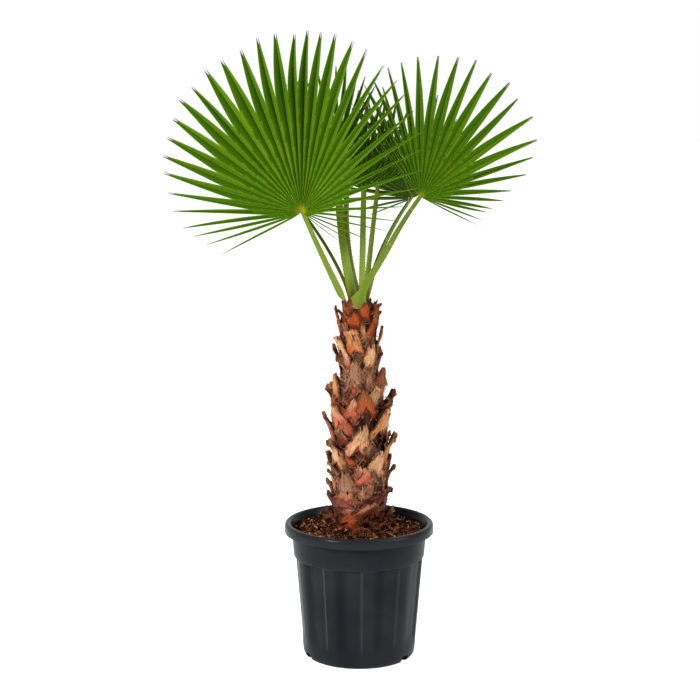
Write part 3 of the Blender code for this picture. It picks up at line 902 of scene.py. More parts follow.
@dataclass
class Husk:
    """One old leaf base: two feet that clasp the stem, parted by a notch, and a cut stub that leans away.

    Attributes:
        turn, start: Where its foot is, about the stem and over the floor.
        length: From its foot to its stub.
        feet: The half width of its left and of its right foot, as angles about the stem.
        stub_half: The half width of its stub, as an angle.
        split: The notch's depth, as a share of the length.
        flare: How far its stub bends away from the stem.
        out: How far all of it stands off the stem.
        stub: The wall's thickness at its stub.
        tilt: How far it turns about the stem from foot to stub.
        curl: How far its margins curl away.
        tone: Its own colours.
        seed: Sets its waver, its mottling and its torn fibres.
        point: How far its stub narrows to the end.
        ragged: How torn its edges are.
        bleach: What its colours are multiplied by.
        slant: How fast it slopes away from the stem.
        thin: The wall's thickness away from its stub.
        columns, rows: The points across one face, and along it.
        stains: What weather lays over its colours.
    """

    turn: float
    start: float
    length: float
    feet: Span
    stub_half: float
    split: float
    flare: float
    out: float
    stub: float
    tilt: float
    curl: float
    tone: HuskTone
    seed: int
    point: float = 0.35
    ragged: float = 1.4
    bleach: Colour = (0.96, 0.82, 0.73)
    slant: float = 0.145
    thin: float = 0.0020
    columns: int = 21
    rows: int = 30
    stains: HuskStains = HuskStains()

    def shape(self, stem: PalmStem) -> tuple[Array, Array, Array]:
        """Works out the husk's closed shell.

        The length runs from a notched foot: along = notch + v (1 - notch), notch deepest at the middle. Each
        half width falls from its own foot to the stub as (1 - along)^1.7, and both waver as torn fibre does.
        The radius is the stem's, plus a slope that grows along, plus a squared flare near the stub, plus a
        curl that grows as the cube of the distance from the middle. The wall is thick at the middle and at
        the stub, and thin at the margins. The stub narrows to its end by the share called point.

        Args:
            stem: The stem that it clasps.

        Returns:
            Points, grain and tint, for Skin.add with around.
        """
        seed = self.seed
        u, v = np.linspace(-1, 1, self.columns), np.linspace(0, 1, self.rows)[:, None]
        off = np.abs(u)
        notch = self.split * np.clip(1 - off / 0.62, 0, 1) ** 0.8 + 0.08 * off**2
        notch = notch + self.ragged * (0.030 + 0.05 * off) * ripple(u * 9 + seed, seed)
        along = np.clip(notch, 0, 0.9) * (1 - v) + v
        foot = np.where(u < 0, self.feet[0], self.feet[1])
        half = self.stub_half * (1.15 - 0.15 * along) + (foot - self.stub_half) * (1 - along) ** 1.7
        half = half * (1 - self.point * ease(0.70, 1.0, along))
        waver = 0.07 * ripple(along * 14 + u, seed + 1) + 0.04 * ripple(along * 60, seed + 2)
        half = half * (1 + self.ragged * waver)
        turn = self.turn + self.tilt * (along - 0.3) + 0.04 * ripple(along * 5, seed + 9) + u * half
        cut = self.ragged * (0.06 * ripple(u * 5, seed + 3) + 0.04 * ripple(u * 19, seed + 4))
        height = self.start + self.length * (along + cut * ease(0.8, 1, along) - 0.05 * off**2 * along)
        slope = self.out * (1 - 0.6 * along) + self.slant * self.length * along
        flare = self.flare * np.clip((along - 0.60) / 0.40, 0, None) ** 2
        inner = stem.radius(height - 0.014 * along) + 0.0005 + slope + flare
        uneven = 0.0025 * ripple(along * 7 + u, seed + 5)
        inner = inner + off**3 * (self.curl * ease(0.1, 0.7, along) + uneven)
        stout = ease(0.35, 0.85, along) * (1 - 0.45 * ease(0.80, 1.0, along))
        wall = self.thin + (self.stub - self.thin) * stout
        wall = wall * (1 - 0.80 * off**2.2) * (1 + 0.14 * ripple(u * 9 + along, seed + 6))
        groove = 0.0006 * np.sin(u * 19 + 2 * ripple(along * 4, seed)) * ease(0, 0.2, along)
        outer = inner + wall + groove
        ring = np.concatenate((outer, inner[:, ::-1]), axis=1)
        spin = np.concatenate((turn, turn[:, ::-1]), axis=1)
        rise = np.concatenate((height, height[:, ::-1]), axis=1)
        middle = (ring + ring[:, ::-1]) / 2
        sunk = 0.0025 * (1 - np.concatenate((off, off)) ** 2)
        ring = np.concatenate((middle[:1], ring, middle[-1:]))
        spin = np.concatenate((spin[:1], spin, spin[-1:]))
        rise = np.concatenate((rise[:1], rise, rise[-1:] - sunk))
        across = np.broadcast_to(np.concatenate((u, u[::-1])), ring.shape)
        far = np.concatenate((along, along[:, ::-1]), axis=1)
        far = np.concatenate((far[:1], far, far[-1:] + 0.03))
        slit = np.concatenate((v[:1], v, v[-1:]))
        grain = np.stack((across, far, np.full(ring.shape, seed * 0.37)), -1)
        return upright(ring, spin, rise), grain, self.colours(across, far, slit)

    def colours(self, across: Array, far: Array, slit: Array) -> Array:
        """The tint: foot to body to stub, mottled, with dark torn margins, cut end and inner face.

        Args:
            across: From -1 to 1 between the margins.
            far: From foot to stub.
            slit: From 0 at the notch to 1 at the stub.

        Returns:
            A colour a point.
        """
        seed, stains = self.seed, self.stains
        foot, body, stub = (np.array(colour) for colour in self.tone.value)
        mottle = 0.22 * ripple(across * 3 + far * 4, seed + 7)
        tint = blend(foot, body, ease(0.02, 0.50, far + mottle)[..., None])
        tint = blend(tint, stub, ease(0.50, 0.90, far)[..., None]) * self.bleach
        core = 0.85 if self.tone is HuskTone.EMBER else 0.35
        rimmed = core * ease(0.25, 0.95, np.abs(across) + 0.2 * ripple(far * 9, seed + 12))
        tint = blend(tint, foot * (0.55, 0.42, 0.40), rimmed[..., None])
        stained = 0.45 * ease(0.2, 0.9, ripple(far * 6 - across * 2, seed + 11) + 0.3)
        tint = blend(tint, tint * (0.50, 0.38, 0.32), stained[..., None])
        edge = ease(0.80, 0.92, np.abs(across) + 0.12 * ripple(far * 34, seed + 8)) * 0.6
        edge = edge * (1 - 0.5 * ease(0.65, 0.9, far))
        edge = np.maximum(edge, ease(0.13, 0.0, slit + 0.05 * ripple(across * 20, seed + 10)) * 0.6)
        tint = blend(tint, stains.torn, edge[..., None])
        frayed = ease(0.90, 0.99, np.abs(across)) * ease(0.0, 0.5, ripple(far * 11 + across, seed + 13) + 0.1)
        tint = blend(tint, stains.frayed, frayed[..., None] * 0.75)
        charred = ease(0.96, 1.03, far + 0.25 * mottle)
        tint = blend(tint, stains.charred, charred[..., None] * 0.6)
        inside = np.repeat((0.0, 1.0), self.columns)
        return blend(tint, blend(tint, stains.inner, 0.4), inside[:, None])

    def fringe(self, points: Array, hairs: int) -> Array:
        """Torn fibres: each leaves a margin sideways and outwards and bends by chance.

        Args:
            points: The husk's own shell.
            hairs: How many.

        Returns:
            Paths of shape (hairs, 5, 3).
        """
        rng = np.random.default_rng(self.seed + 50)
        row = rng.integers(1, self.rows, hairs)
        right = rng.uniform(0, 1, hairs) < 0.5
        last = self.columns - 1
        start, back = points[row, np.where(right, last, 0)], points[row, np.where(right, last - 3, 3)]
        away = unit(start - back) + 0.35 * unit(start * (1, 1, 0)) + rng.normal(0, 0.55, (hairs, 3))
        bend = rng.normal(0, 0.6, (hairs, 3))
        s = np.linspace(0, 1, 5)[:, None]
        length = (0.003 + 0.009 * rng.uniform(0, 1, hairs) ** 2)[:, None, None]
        root = back[:, None] * 0.3 + start[:, None] * 0.7
        return root + length * (unit(away)[:, None] * s + bend[:, None] * s**2 * 0.5)


@dataclass
class Relief:
    """How far out husks reach, over turn and height: each cell's largest radius, spread and softened."""

    shells: list[Array]
    spread: int = 1
    cells: tuple[int, int] = (96, 120)
    low: float = 0.285
    high: float = 0.875
    # painted shade: it starts at the first depth, is full at the second, and takes this share of each channel
    sunk: Span = (0.0036, 0.0120)
    painted_shade: Colour = (0.67, 0.74, 0.78)

    def __post_init__(self) -> None:
        """Charts the husks' shells, with each high spot spread over so many cells round it."""
        spots = np.concatenate([shell.reshape(-1, 3) for shell in self.shells])
        turn, height = self.chart(spots)
        self.map = np.zeros(self.cells)
        spot = (turn.astype(int) % self.cells[0], np.clip(height.astype(int), 0, self.cells[1] - 1))
        np.maximum.at(self.map, spot, np.hypot(spots[:, 0], spots[:, 1]))
        for axis in (0, 1) * self.spread:
            sides = np.roll(self.map, 1, axis), np.roll(self.map, -1, axis)
            self.map = np.maximum(self.map, np.maximum(*sides))
        for axis in (0, 1):
            self.map = (np.roll(self.map, 1, axis) + 2 * self.map + np.roll(self.map, -1, axis)) / 4

    def chart(self, points: Array) -> tuple[Array, Array]:
        """Where points lie on the map, in cells round and cells up."""
        turn = np.arctan2(points[..., 1], points[..., 0]) / (2 * np.pi) % 1 * self.cells[0]
        return turn, (points[..., 2] - self.low) / (self.high - self.low) * self.cells[1]

    def level(self, points: Array) -> Array:
        """The map's radius at points, read between the four nearest cells."""
        turn, height = self.chart(points)
        turn, height = turn - 0.5, np.clip(height - 0.5, 0, self.cells[1] - 1.001)
        column, row = np.floor(turn).astype(int), np.floor(height).astype(int)
        share = turn - column
        near, far = self.map[column % self.cells[0]], self.map[(column + 1) % self.cells[0]]
        near, far = (self.read(strips, row, height - row) for strips in (near, far))
        return near * (1 - share) + far * share

    def read(self, strips: Array, row: Array, share: Array) -> Array:
        """Reads each point's own strip of the map between a row and the next."""
        low = np.take_along_axis(strips, row[..., None], -1)[..., 0]
        high = np.take_along_axis(strips, row[..., None] + 1, -1)[..., 0]
        return low * (1 - share) + high * share

    def shade(self, points: Array, tint: Array) -> Array:
        """Paints shade into a tint, the darker the deeper a point lies under the husks round it."""
        depth = self.level(points) - np.hypot(points[..., 0], points[..., 1])
        return tint * (1 - np.array(self.painted_shade) * ease(*self.sunk, depth)[..., None])


@dataclass
class HuskCoat:
    """All the old leaf bases, wound up the stem by the golden angle, with thin worn ones between them."""

    stem: PalmStem
    count: int = 38
    first: float = 0.3075
    last: float = 0.766
    lengths: Span = (0.100, 0.080)
    golden: float = math.radians(137.508)
    first_turn: float = math.radians(-84)
    order: str = "RGPPKGCOCGCORCKROCRKGKOOKCGROCKCKBOEKK"
    bent: tuple[tuple[int, float], ...] = ((7, 0.006), (10, 0.012), (19, 0.004), (20, 0.016), (24, 0.003))
    cut_short: int = 34
    patches: int = 150
    patch_orders: tuple[tuple[float, str], ...] = (
        (0.30, "PREGRCPKRGRCPB"), (0.68, "KRCBEORCOKGPCR"), (1.01, "EKBEEKBOKKEBRK")
    )
    shifted_patch: int = 60
    scraps: int = 24
    scrap_order: str = "PKGRPBKGPRKPBG"
    sunned: Colour = (0.97, 0.85, 0.77)
    soiled: Colour = (0.80, 0.60, 0.56)
    shaded: Colour = (0.86, 0.64, 0.48)
    fringe_colours: tuple[Colour, ...] = (light(60, 33, 19), light(104, 64, 38), light(176, 136, 96))

    def husk(self, number: int) -> Husk:
        """Works out a main husk, counted from the soil. Seven draws spread its sizes about the mean."""
        share = number / (self.count - 1)
        seed = number * 26 + 7
        rng = np.random.default_rng(seed)
        a, b, c, d, e, f, g = rng.uniform(-1, 1, 7)
        young, old = float(ease(0.55, 0.95, share)), 1 - float(ease(0.40, 0.70, share))
        slim = float(ease(0.56, 0.62, share) * ease(0.91, 0.85, share))
        low = number < 5
        short = number == self.cut_short
        length = self.lengths[0] + (self.lengths[1] - self.lengths[0]) * share
        foot = math.radians(42 + 24 * old + 14 * low - 10 * (share > 0.86))
        return Husk(
            turn=self.golden * number + self.first_turn + 0.07 * a - 0.30 * short,
            start=self.first + (self.last - self.first) * share - 0.008 * (number > 4) + 0.003 * f,
            length=length * (1 + 0.07 * c - 0.36 * low - 0.20 * short),
            feet=(foot * (1 + 0.22 * d), foot * (1 - 0.22 * g)),
            stub_half=math.radians(11 + 8 * young + 1.5 * e + 12 * low - 10 * (number > 35)),
            split=(0.52 + 0.08 * b) * (1 - 0.70 * young),
            flare=(0.013 - 0.009 * share) * (1 + 0.5 * e) + dict(self.bent).get(number, 0.0),
            out=0.0016 + 0.008 * max(0.0, e) * (1 - 0.7 * slim),
            stub=(0.0100 - 0.0030 * young) * (1 + 0.2 * d),
            tilt=0.30 * c + 0.12 * f + 0.3 * b * low,
            curl=0.004 * g,
            tone=TONES[self.order[number]],
            seed=seed,
            point=0.30 * (1 - young) + 0.1 * b,
            ragged=1.7 + 0.8 * low + 0.4 * f,
            bleach=self.shaded if share > 0.93 else self.soiled if low else self.sunned,
        )

    def patch(self, number: int) -> Husk:
        """Works out one of the thin inner husks in the gaps. Six draws spread its sizes about the mean."""
        share = number / (self.patches - 1)
        seed = number * 17 + 3
        rng = np.random.default_rng(seed)
        a, b, c, d, e, f = rng.uniform(-1, 1, 6)
        order = next(letters for top, letters in self.patch_orders if share < top)
        shifted = number == self.shifted_patch
        squat = float(share < 0.14)
        spiky = float(number % 4 == 1 and 0.10 < share < 0.90)
        return Husk(
            turn=self.golden * (number + 0.5) + self.first_turn + 0.4 * a + 0.75 * shifted,
            start=self.first - 0.004 + (self.last + 0.014 - self.first) * share + 0.009 * b,
            length=0.052 + 0.014 * c - 0.016 * squat + 0.010 * spiky,
            feet=(math.radians(26 + 9 * d + 12 * squat), math.radians(26 - 9 * e + 12 * squat)),
            stub_half=math.radians(14 + 5 * f + 8 * squat - 5 * spiky),
            split=0.30 + 0.15 * e,
            flare=0.002 + 0.002 * d + (0.010 + 0.003 * a) * spiky,
            out=-0.0002 + 0.013 * max(0.0, a) * (share < 0.60) + 0.003 * squat + 0.005 * shifted,
            stub=0.0030 + 0.0025 * spiky,
            tilt=0.60 * e,
            curl=(0.007 + 0.007 * squat) * f,
            tone=TONES[order[number % len(order)]],
            seed=seed,
            point=0.35 + 0.25 * spiky,
            ragged=2.2 + 0.8 * squat,
            slant=0.145 - 0.055 * (share > 0.6),
            bleach=(0.98, 0.70, 0.60) if squat else (0.96, 0.82, 0.73),
            columns=13,
            rows=15,
        )

    def sheaths(self) -> list[Husk]:
        """The papery sheaths that wrap the stalks' feet, and the young rounded bases under them."""
        rows = (
            (-148, 0.797, 0.038, 28, 20, "K"), (-128, 0.808, 0.040, 20, 13, "P"),
            (-58, 0.806, 0.034, 18, 13, "P"), (-40, 0.795, 0.036, 26, 18, "K"),
            (8, 0.800, 0.042, 36, 20, "K"), (60, 0.798, 0.046, 38, 22, "B"),
            (115, 0.800, 0.044, 38, 22, "P"), (168, 0.798, 0.042, 36, 22, "B"),
            (-106, 0.768, 0.050, 38, 31, "E"), (-73, 0.796, 0.044, 24, 20, "E"),
            (-138, 0.776, 0.042, 26, 16, "K"), (-22, 0.788, 0.048, 16, 8, "B"),
            (-10, 0.772, 0.046, 16, 9, "K"), (-166, 0.776, 0.046, 16, 9, "K"),
        )
        husks = []
        for number, (turn, start, length, foot, stub, letter) in enumerate(rows):
            thick = 0.0045 if number > 7 else 0.0018
            lean = 0.009 if number > 10 else 0.0015
            proud = 0.0045 if letter == "E" else 0.0
            husks.append(Husk(
                turn=math.radians(turn), start=start, length=length, feet=(math.radians(foot),) * 2,
                stub_half=math.radians(stub), split=0.03, flare=lean, out=proud - 0.0012 + thick / 3,
                stub=thick, tilt=0.25 * math.sin(number * 2.4), curl=-0.003, tone=TONES[letter],
                seed=number + 400, point=0.6, bleach=(0.86, 0.62, 0.46),
            ))
        return husks

    def skirt(self) -> list[Husk]:
        """The short weathered scraps that curl outwards in a ragged ring where the stem meets the soil."""
        husks = []
        for number in range(self.scraps):
            letter = self.scrap_order[number % len(self.scrap_order)]
            a, b, c, d, e, f = np.random.default_rng(number + 900).uniform(-1, 1, 6)
            husks.append(Husk(
                turn=self.golden * (number + 0.3) + 0.15 * a, start=0.306 + 0.010 * b,
                length=0.036 + 0.010 * c, feet=(math.radians(16 + 5 * d), math.radians(16 - 5 * e)),
                stub_half=math.radians(6 + 4 * f), split=0.20, flare=0.017 + 0.006 * d,
                out=0.008 + 0.003 * e, stub=0.0024, tilt=0.7 * a + 0.3 * f, curl=0.012 * b,
                tone=TONES[letter], seed=number + 940, point=0.3, ragged=3.2,
                bleach=(0.78, 0.60, 0.56), columns=15, rows=16,
            ))
        return husks

    def lining(self) -> Relief:
        """How far out the inner husks alone reach, for the fibres that lie on them."""
        return Relief([self.patch(number).shape(self.stem)[0] for number in range(self.patches)], 0)

    def build(self) -> None:
        """Makes a piece for each CAD leaf base, then inner husks, skirt, sheaths and all torn fibres."""
        material = HuskFinish().material()
        groups = {f"husk_{number + 1:02d}": ([self.husk(number)], 44) for number in range(self.count)}
        groups["husks_inner"] = ([self.patch(number) for number in range(self.patches)], 15)
        groups["husks_skirt"] = (self.skirt(), 20)
        groups["husks_crown"] = (self.sheaths(), 34)
        shells = {name: [husk.shape(self.stem) for husk in husks] for name, (husks, _) in groups.items()}
        relief = Relief([points for group in shells.values() for points, _, _ in group])
        hairs = []
        for name, (husks, torn) in groups.items():
            skin = Skin()
            for husk, (points, grain, tint) in zip(husks, shells[name]):
                # painted shade where a point lies deep under the husks round it
                skin.add(points, grain, relief.shade(points, tint), around=True)
                hairs.append(husk.fringe(points, torn))
            node = [name.replace("husk", "leaf_base")] if len(husks) == 1 else []
            dress(skin.finish(name, [material], 50), "leaf_base_husk", *node)
        paths = np.concatenate(hairs)
        rng = np.random.default_rng(3)
        tint = draw_tints(rng, self.fringe_colours, (0.35, 0.35, 0.3), len(paths))
        skin = Skin()
        skin.strands(paths, rng.uniform(0.00018, 0.00040, (len(paths), 1)), tint)
        dress(skin.finish("husk_fringe", [ThreadFinish().material()], 80), "leaf_base_husk")


@dataclass
class LooseFibres:
    """Dry threads: a net that lies on the stem and its inner husks, hairs that curl off, and straws."""

    stem: PalmStem
    lining: Relief
    netted: int = 2400
    net_lengths: Span = (0.020, 0.055)
    net_radii: Span = (0.00022, 0.0005)
    stray: int = 340
    stray_lengths: Span = (0.010, 0.030)
    stray_radii: Span = (0.00018, 0.0004)
    straws: int = 5
    straw_lengths: Span = (0.035, 0.060)
    straw_radii: Span = (0.0005, 0.0010)
    knots: int = 9
    straw: Colour = light(170, 124, 84)
    colours: tuple[Colour, ...] = (
        light(166, 112, 74), light(114, 66, 38), light(198, 156, 114), light(78, 42, 22)
    )

    def build(self) -> None:
        """Makes all three kinds, as thin tubes."""
        rng = np.random.default_rng(11)
        skin = Skin()
        self.add_net(skin, rng)
        self.add_strays(skin, rng)
        self.add_straws(skin, rng)
        dress(skin.finish("loose_fibres", [ThreadFinish().material()], 80), "stem_fibre")

    def add_net(self, skin: Skin, rng: np.random.Generator) -> None:
        """Adds threads that turn steadily as they rise, with a small wave, close to what they lie on."""
        s = np.linspace(0, 1, self.knots)
        count = self.netted
        start, turn = rng.uniform(0.33, 0.74, count), rng.uniform(0, 2 * np.pi, count)
        start = np.where(rng.uniform(0, 1, count) < 0.62, rng.uniform(0.62, 0.735, count), start)
        length = rng.uniform(*self.net_lengths, count)
        lean = rng.choice((-1, 1), count) * rng.uniform(0.35, 1.1, count)
        height = start[:, None] + length[:, None] * s
        proud = (0.0038 * rng.uniform(0, 1, count) ** 1.5 - 0.0012)[:, None]
        proud = proud + 0.0008 * np.sin(s * 5 + turn[:, None])
        wave = 0.0022 * np.sin(s * 9 + 40 * turn[:, None])
        spin = turn[:, None] + ((lean * length)[:, None] * s + wave) / (self.stem.radius(height) + 0.008)
        husks = self.lining.level(upright(1, spin, height))
        radius = np.maximum(self.stem.radius(height) + 0.002, husks) + proud
        tint = draw_tints(rng, self.colours, (0.40, 0.30, 0.12, 0.18), count)
        skin.strands(upright(radius, spin, height), rng.uniform(*self.net_radii, (count, 1)), tint)

    def add_strays(self, skin: Skin, rng: np.random.Generator) -> None:
        """Adds hairs that leave the stem as the square of their length, with two sideways waves."""
        s = np.linspace(0, 1, self.knots)
        count = self.stray
        start, turn = rng.uniform(0.32, 0.82, count)[:, None], rng.uniform(0, 2 * np.pi, count)[:, None]
        length = rng.uniform(*self.stray_lengths, count)[:, None]
        phase = rng.uniform(0, 6.3, (count, 2, 1))
        radius = self.stem.radius(start) + 0.010 + length * (0.2 * s + 0.65 * s**2)
        spin = turn + length * 0.5 * np.sin(s * 4 + phase[:, 0]) / radius
        height = start + length * (0.6 * s + 0.35 * np.sin(s * 5 + phase[:, 1]) * s)
        tint = draw_tints(rng, self.colours, (0.4, 0.2, 0.2, 0.2), count)
        skin.strands(upright(radius, spin, height), rng.uniform(*self.stray_radii, (count, 1)), tint)

    def add_straws(self, skin: Skin, rng: np.random.Generator) -> None:
        """Adds a few stouter straws that hang on the husks, the first of them in front."""
        s = np.linspace(0, 1, self.knots)
        count = self.straws
        start, turn = rng.uniform(0.36, 0.72, (count, 1)), rng.uniform(0, 2 * np.pi, (count, 1))
        start[0], turn[0] = 0.425, math.radians(-84)
        length = rng.uniform(*self.straw_lengths, (count, 1))
        height, swing = start - length * s, rng.uniform(-0.3, 0.5, (count, 1))
        radius = self.stem.radius(start) + 0.016 + 0.005 * np.sin(s * 3)
        radii = rng.uniform(*self.straw_radii, (count, 1))
        skin.strands(upright(radius, turn + swing * s**2, height), radii, self.straw, 5)


# ---- Leaves ----
@dataclass
class Leaf:
    """One fan leaf on its stalk: where its hub is, how its blade faces, and how its fingers are laid out.

    Attributes:
        name: The leaf's name.
        hub, foot: Where the blade starts, and where the stalk stands on the stem's crown.
        yaw, lean, roll: How the blade faces, in degrees.
        reach: The longest finger's length.
        left, right: How far the fan spreads to each side of its midrib, in degrees.
        left_end, right_end: The outermost fingers' length, as a share of the reach.
        fold_left, fold_right: How far each half is folded up, in degrees.
        foot_width: The stalk's width at its foot.
        fingers: How many fingers the fan has.
        hair: How frayed and thin its tips are, most of all on its right.
        tone: How bright its green is, from 0 to 1.
        drop: How far the stalk's foot reaches down the stem's side.
        stout: The stalk's width at the hub, as a share of the usual one.
        bow: How far the stalk bends to the right on its way.
        clasp: The turn about the stem of a foot that wraps it, in degrees.
        joined: The share of its length along which a middle finger is joined to the next.
        early: How much sooner the fingers of its right half shorten.
        bunch: How far the fingers are bunched towards the ends.
        left_fingers: How many fingers lie left of the midrib, where not half of them.
    """

    name: str
    hub: Point
    foot: tuple[float, float]
    yaw: float
    lean: float
    roll: float
    reach: float
    left: float
    right: float
    left_end: float
    right_end: float
    fold_left: float
    fold_right: float
    foot_width: float
    fingers: int
    hair: float = 0.3
    tone: float = 0.5
    drop: float = 0.0
    stout: float = 1.0
    bow: float = 0.0
    clasp: float | None = None
    joined: float = 0.65
    early: float = 0.0
    bunch: float = 0.0
    left_fingers: float | None = None

    def axes(self) -> tuple[Array, Array, Array]:
        """The blade's right, midrib and face: leaned back, rolled about the face, then turned about up."""
        yaw, lean, roll = np.radians((self.yaw, self.lean, self.roll))
        back = np.array((0, np.sin(lean), np.cos(lean)))
        face = np.array((0, -np.cos(lean), np.sin(lean)))
        right = np.array((1.0, 0, 0))
        midrib = np.cos(roll) * back + np.sin(roll) * right
        side = np.cos(roll) * right - np.sin(roll) * back
        spin = np.array(((np.cos(yaw), -np.sin(yaw), 0), (np.sin(yaw), np.cos(yaw), 0), (0, 0, 1)))
        return spin @ side, spin @ midrib, spin @ face


@dataclass
class Fingers:
    """How a fan's fingers lie: one value a finger, but one a fold for folds and parts, where they part."""

    folds: Array
    ribs: Array
    lengths: Array
    parts: Array
    tone: Array
    hairy: Array
    loose: Array
    sway: Array
    nod: Array


@dataclass
class LeafBlade:
    """The pleated fan: fingers joined near the hub, that come apart and taper to split, hair-fine tips."""

    leaf: Leaf
    thick: float = 0.0007
    hub_radius: float = 0.0035
    pleat: float = 0.95
    arch: float = 0.030
    hang: float = 0.025
    narrow: float = 0.0062
    rib_shift: float = 0.30
    columns: int = 3
    joined_rows: int = 16
    free_rows: int = 26

    def spread(self, share: Array) -> Array:
        """The angle at a share from -1 to 1 across the fan: its power 1.12, plus a bunching sine."""
        limit = np.radians(np.where(share < 0, self.leaf.left, self.leaf.right))
        off = np.abs(share)
        return limit * np.sign(share) * (off**1.12 + self.leaf.bunch * np.sin(np.pi * off))

    def length(self, angle: Array) -> Array:
        """A finger's length: the reach, less its angle's share squared, less a half sine far out."""
        limit = np.radians(np.where(angle < 0, self.leaf.left, self.leaf.right))
        end = np.where(angle < 0, self.leaf.left_end, self.leaf.right_end)
        share = np.abs(angle / limit)
        early = self.leaf.early * (angle > 0) * np.sin(np.pi * np.clip((share - 0.45) / 0.55, 0, 1))
        return self.leaf.reach * (1 - (1 - end) * (share**2 + early))

    def parting(self, angle: Array) -> Array:
        """The share of its length where a finger comes free: less towards the sides."""
        limit = np.radians(np.where(angle < 0, self.leaf.left, self.leaf.right))
        share = np.abs(angle / limit)
        sides = 0.16 * share**2 + 0.38 * ease(0.50, 0.95, share)
        sides = sides + 0.20 * self.leaf.hair * ease(0.2, 0.5, angle)
        return np.maximum(self.leaf.joined - sides, 0.12)

    def put(self, x: Array, y: Array, lift: Array) -> Array:
        """Puts plan points on the bent blade.

        A point goes x along the midrib and y aside. Each half is folded about the midrib, rounded at the
        crease, the blade arches back as the power 2.5 of its distance, and side fingers hang a little.

        Args:
            x: Along the midrib.
            y: To the blade's right.
            lift: Off the face.

        Returns:
            The points.
        """
        leaf = self.leaf
        side, midrib, face = leaf.axes()
        fold = np.radians(blend(leaf.fold_left, leaf.fold_right, ease(-0.03, 0.03, y)))
        raised = (np.sqrt(y * y + 0.0004) - 0.02) * np.sin(fold)
        far = np.sqrt(x * x + y * y) / leaf.reach
        lift = lift + raised - self.arch * leaf.reach * far**2.5
        spot = np.array(leaf.hub) + x[..., None] * midrib + (y * np.cos(fold))[..., None] * side
        spot = spot + lift[..., None] * face
        spot[..., 2] -= self.hang * leaf.reach * np.abs(y / leaf.reach) * far**2
        return spot

    def fingers(self) -> Fingers:
        """Lays out the fingers, each a little off its even place, length and tone."""
        leaf, count = self.leaf, self.leaf.fingers
        rng = np.random.default_rng(sum(map(ord, leaf.name)))
        left_count = count / 2 if leaf.left_fingers is None else leaf.left_fingers
        order = np.arange(count + 1) - left_count
        folds = np.where(order < 0, order / left_count, order / (count - left_count))
        folds[1:-1] += rng.uniform(-0.24, 0.24, count - 1) / count
        folds = self.spread(folds)
        rib_share = 0.5 + self.rib_shift / 2
        ribs = folds[:-1] * (1 - rib_share) + folds[1:] * rib_share
        lengths = self.length(ribs) * (1 + rng.uniform(-0.020, 0.020, count))
        shorter = np.concatenate((lengths[:1], np.minimum(lengths[:-1], lengths[1:]), lengths[-1:]))
        parts = shorter * self.parting(folds)
        parts *= 1 + rng.uniform(-0.05, 0.05, count + 1)
        tone = rng.uniform(0, 1, count) * 0.6 + leaf.tone * 0.4
        off = np.abs(ribs)
        hairy = leaf.hair * ease(0.1, 0.6, off / np.radians(130)) * (ribs > 0)
        hairy = hairy + 0.12 * rng.uniform(0, 1, count)
        loose = ease(0.72, 1.0, off / np.radians(np.where(ribs < 0, leaf.left, leaf.right)))
        sway = rng.uniform(-0.020, 0.020, count) * (1 + loose)
        nod = rng.uniform(-0.03, 0.02, count) * (1 + 2 * loose)
        return Fingers(folds, ribs, lengths, parts, tone, hairy, loose, sway, nod)

    def side_columns(self, fingers: Fingers, sign: int) -> tuple[Array, Array]:
        """Each column's angle, and the distance where it comes free, from rib to fold on one side."""
        beside = slice(None, -1) if sign < 0 else slice(1, None)
        out = np.arange(self.columns + 1) / self.columns
        rib_parts = (fingers.parts[:-1] + fingers.parts[1:]) / 2 * 1.04
        angle = blend(fingers.ribs[:, None], fingers.folds[beside, None], out)
        return angle, blend(rib_parts[:, None], fingers.parts[beside, None], out)

    def pleated(self, width: Array) -> Array:
        """How far each column lies off the face: half a pleat rises in a soft arc from rib to fold."""
        out = np.arange(self.columns + 1) / self.columns
        return width * (out - 0.5) + width * 0.35 * out * (1 - out)

    def joined(self, fingers: Fingers, angle: Array, reach: Array) -> tuple[Array, Array]:
        """The fingers' joined part on one side of their ribs: rows run from the hub to where each comes free.

        Args:
            fingers: The fingers.
            angle: Each column's angle.
            reach: Each column's distance where it comes free.

        Returns:
            The points, and each one's share of its finger's length.
        """
        rows = (np.arange(self.joined_rows + 1) / self.joined_rows)[None, :, None]
        radius = self.hub_radius + (reach[:, None] - self.hub_radius) * rows
        lift = self.pleated(self.pleat * radius * self.step() / 2)
        points = self.put(radius * np.cos(angle)[:, None], radius * np.sin(angle)[:, None], lift)
        return points, radius / fingers.lengths[:, None, None]

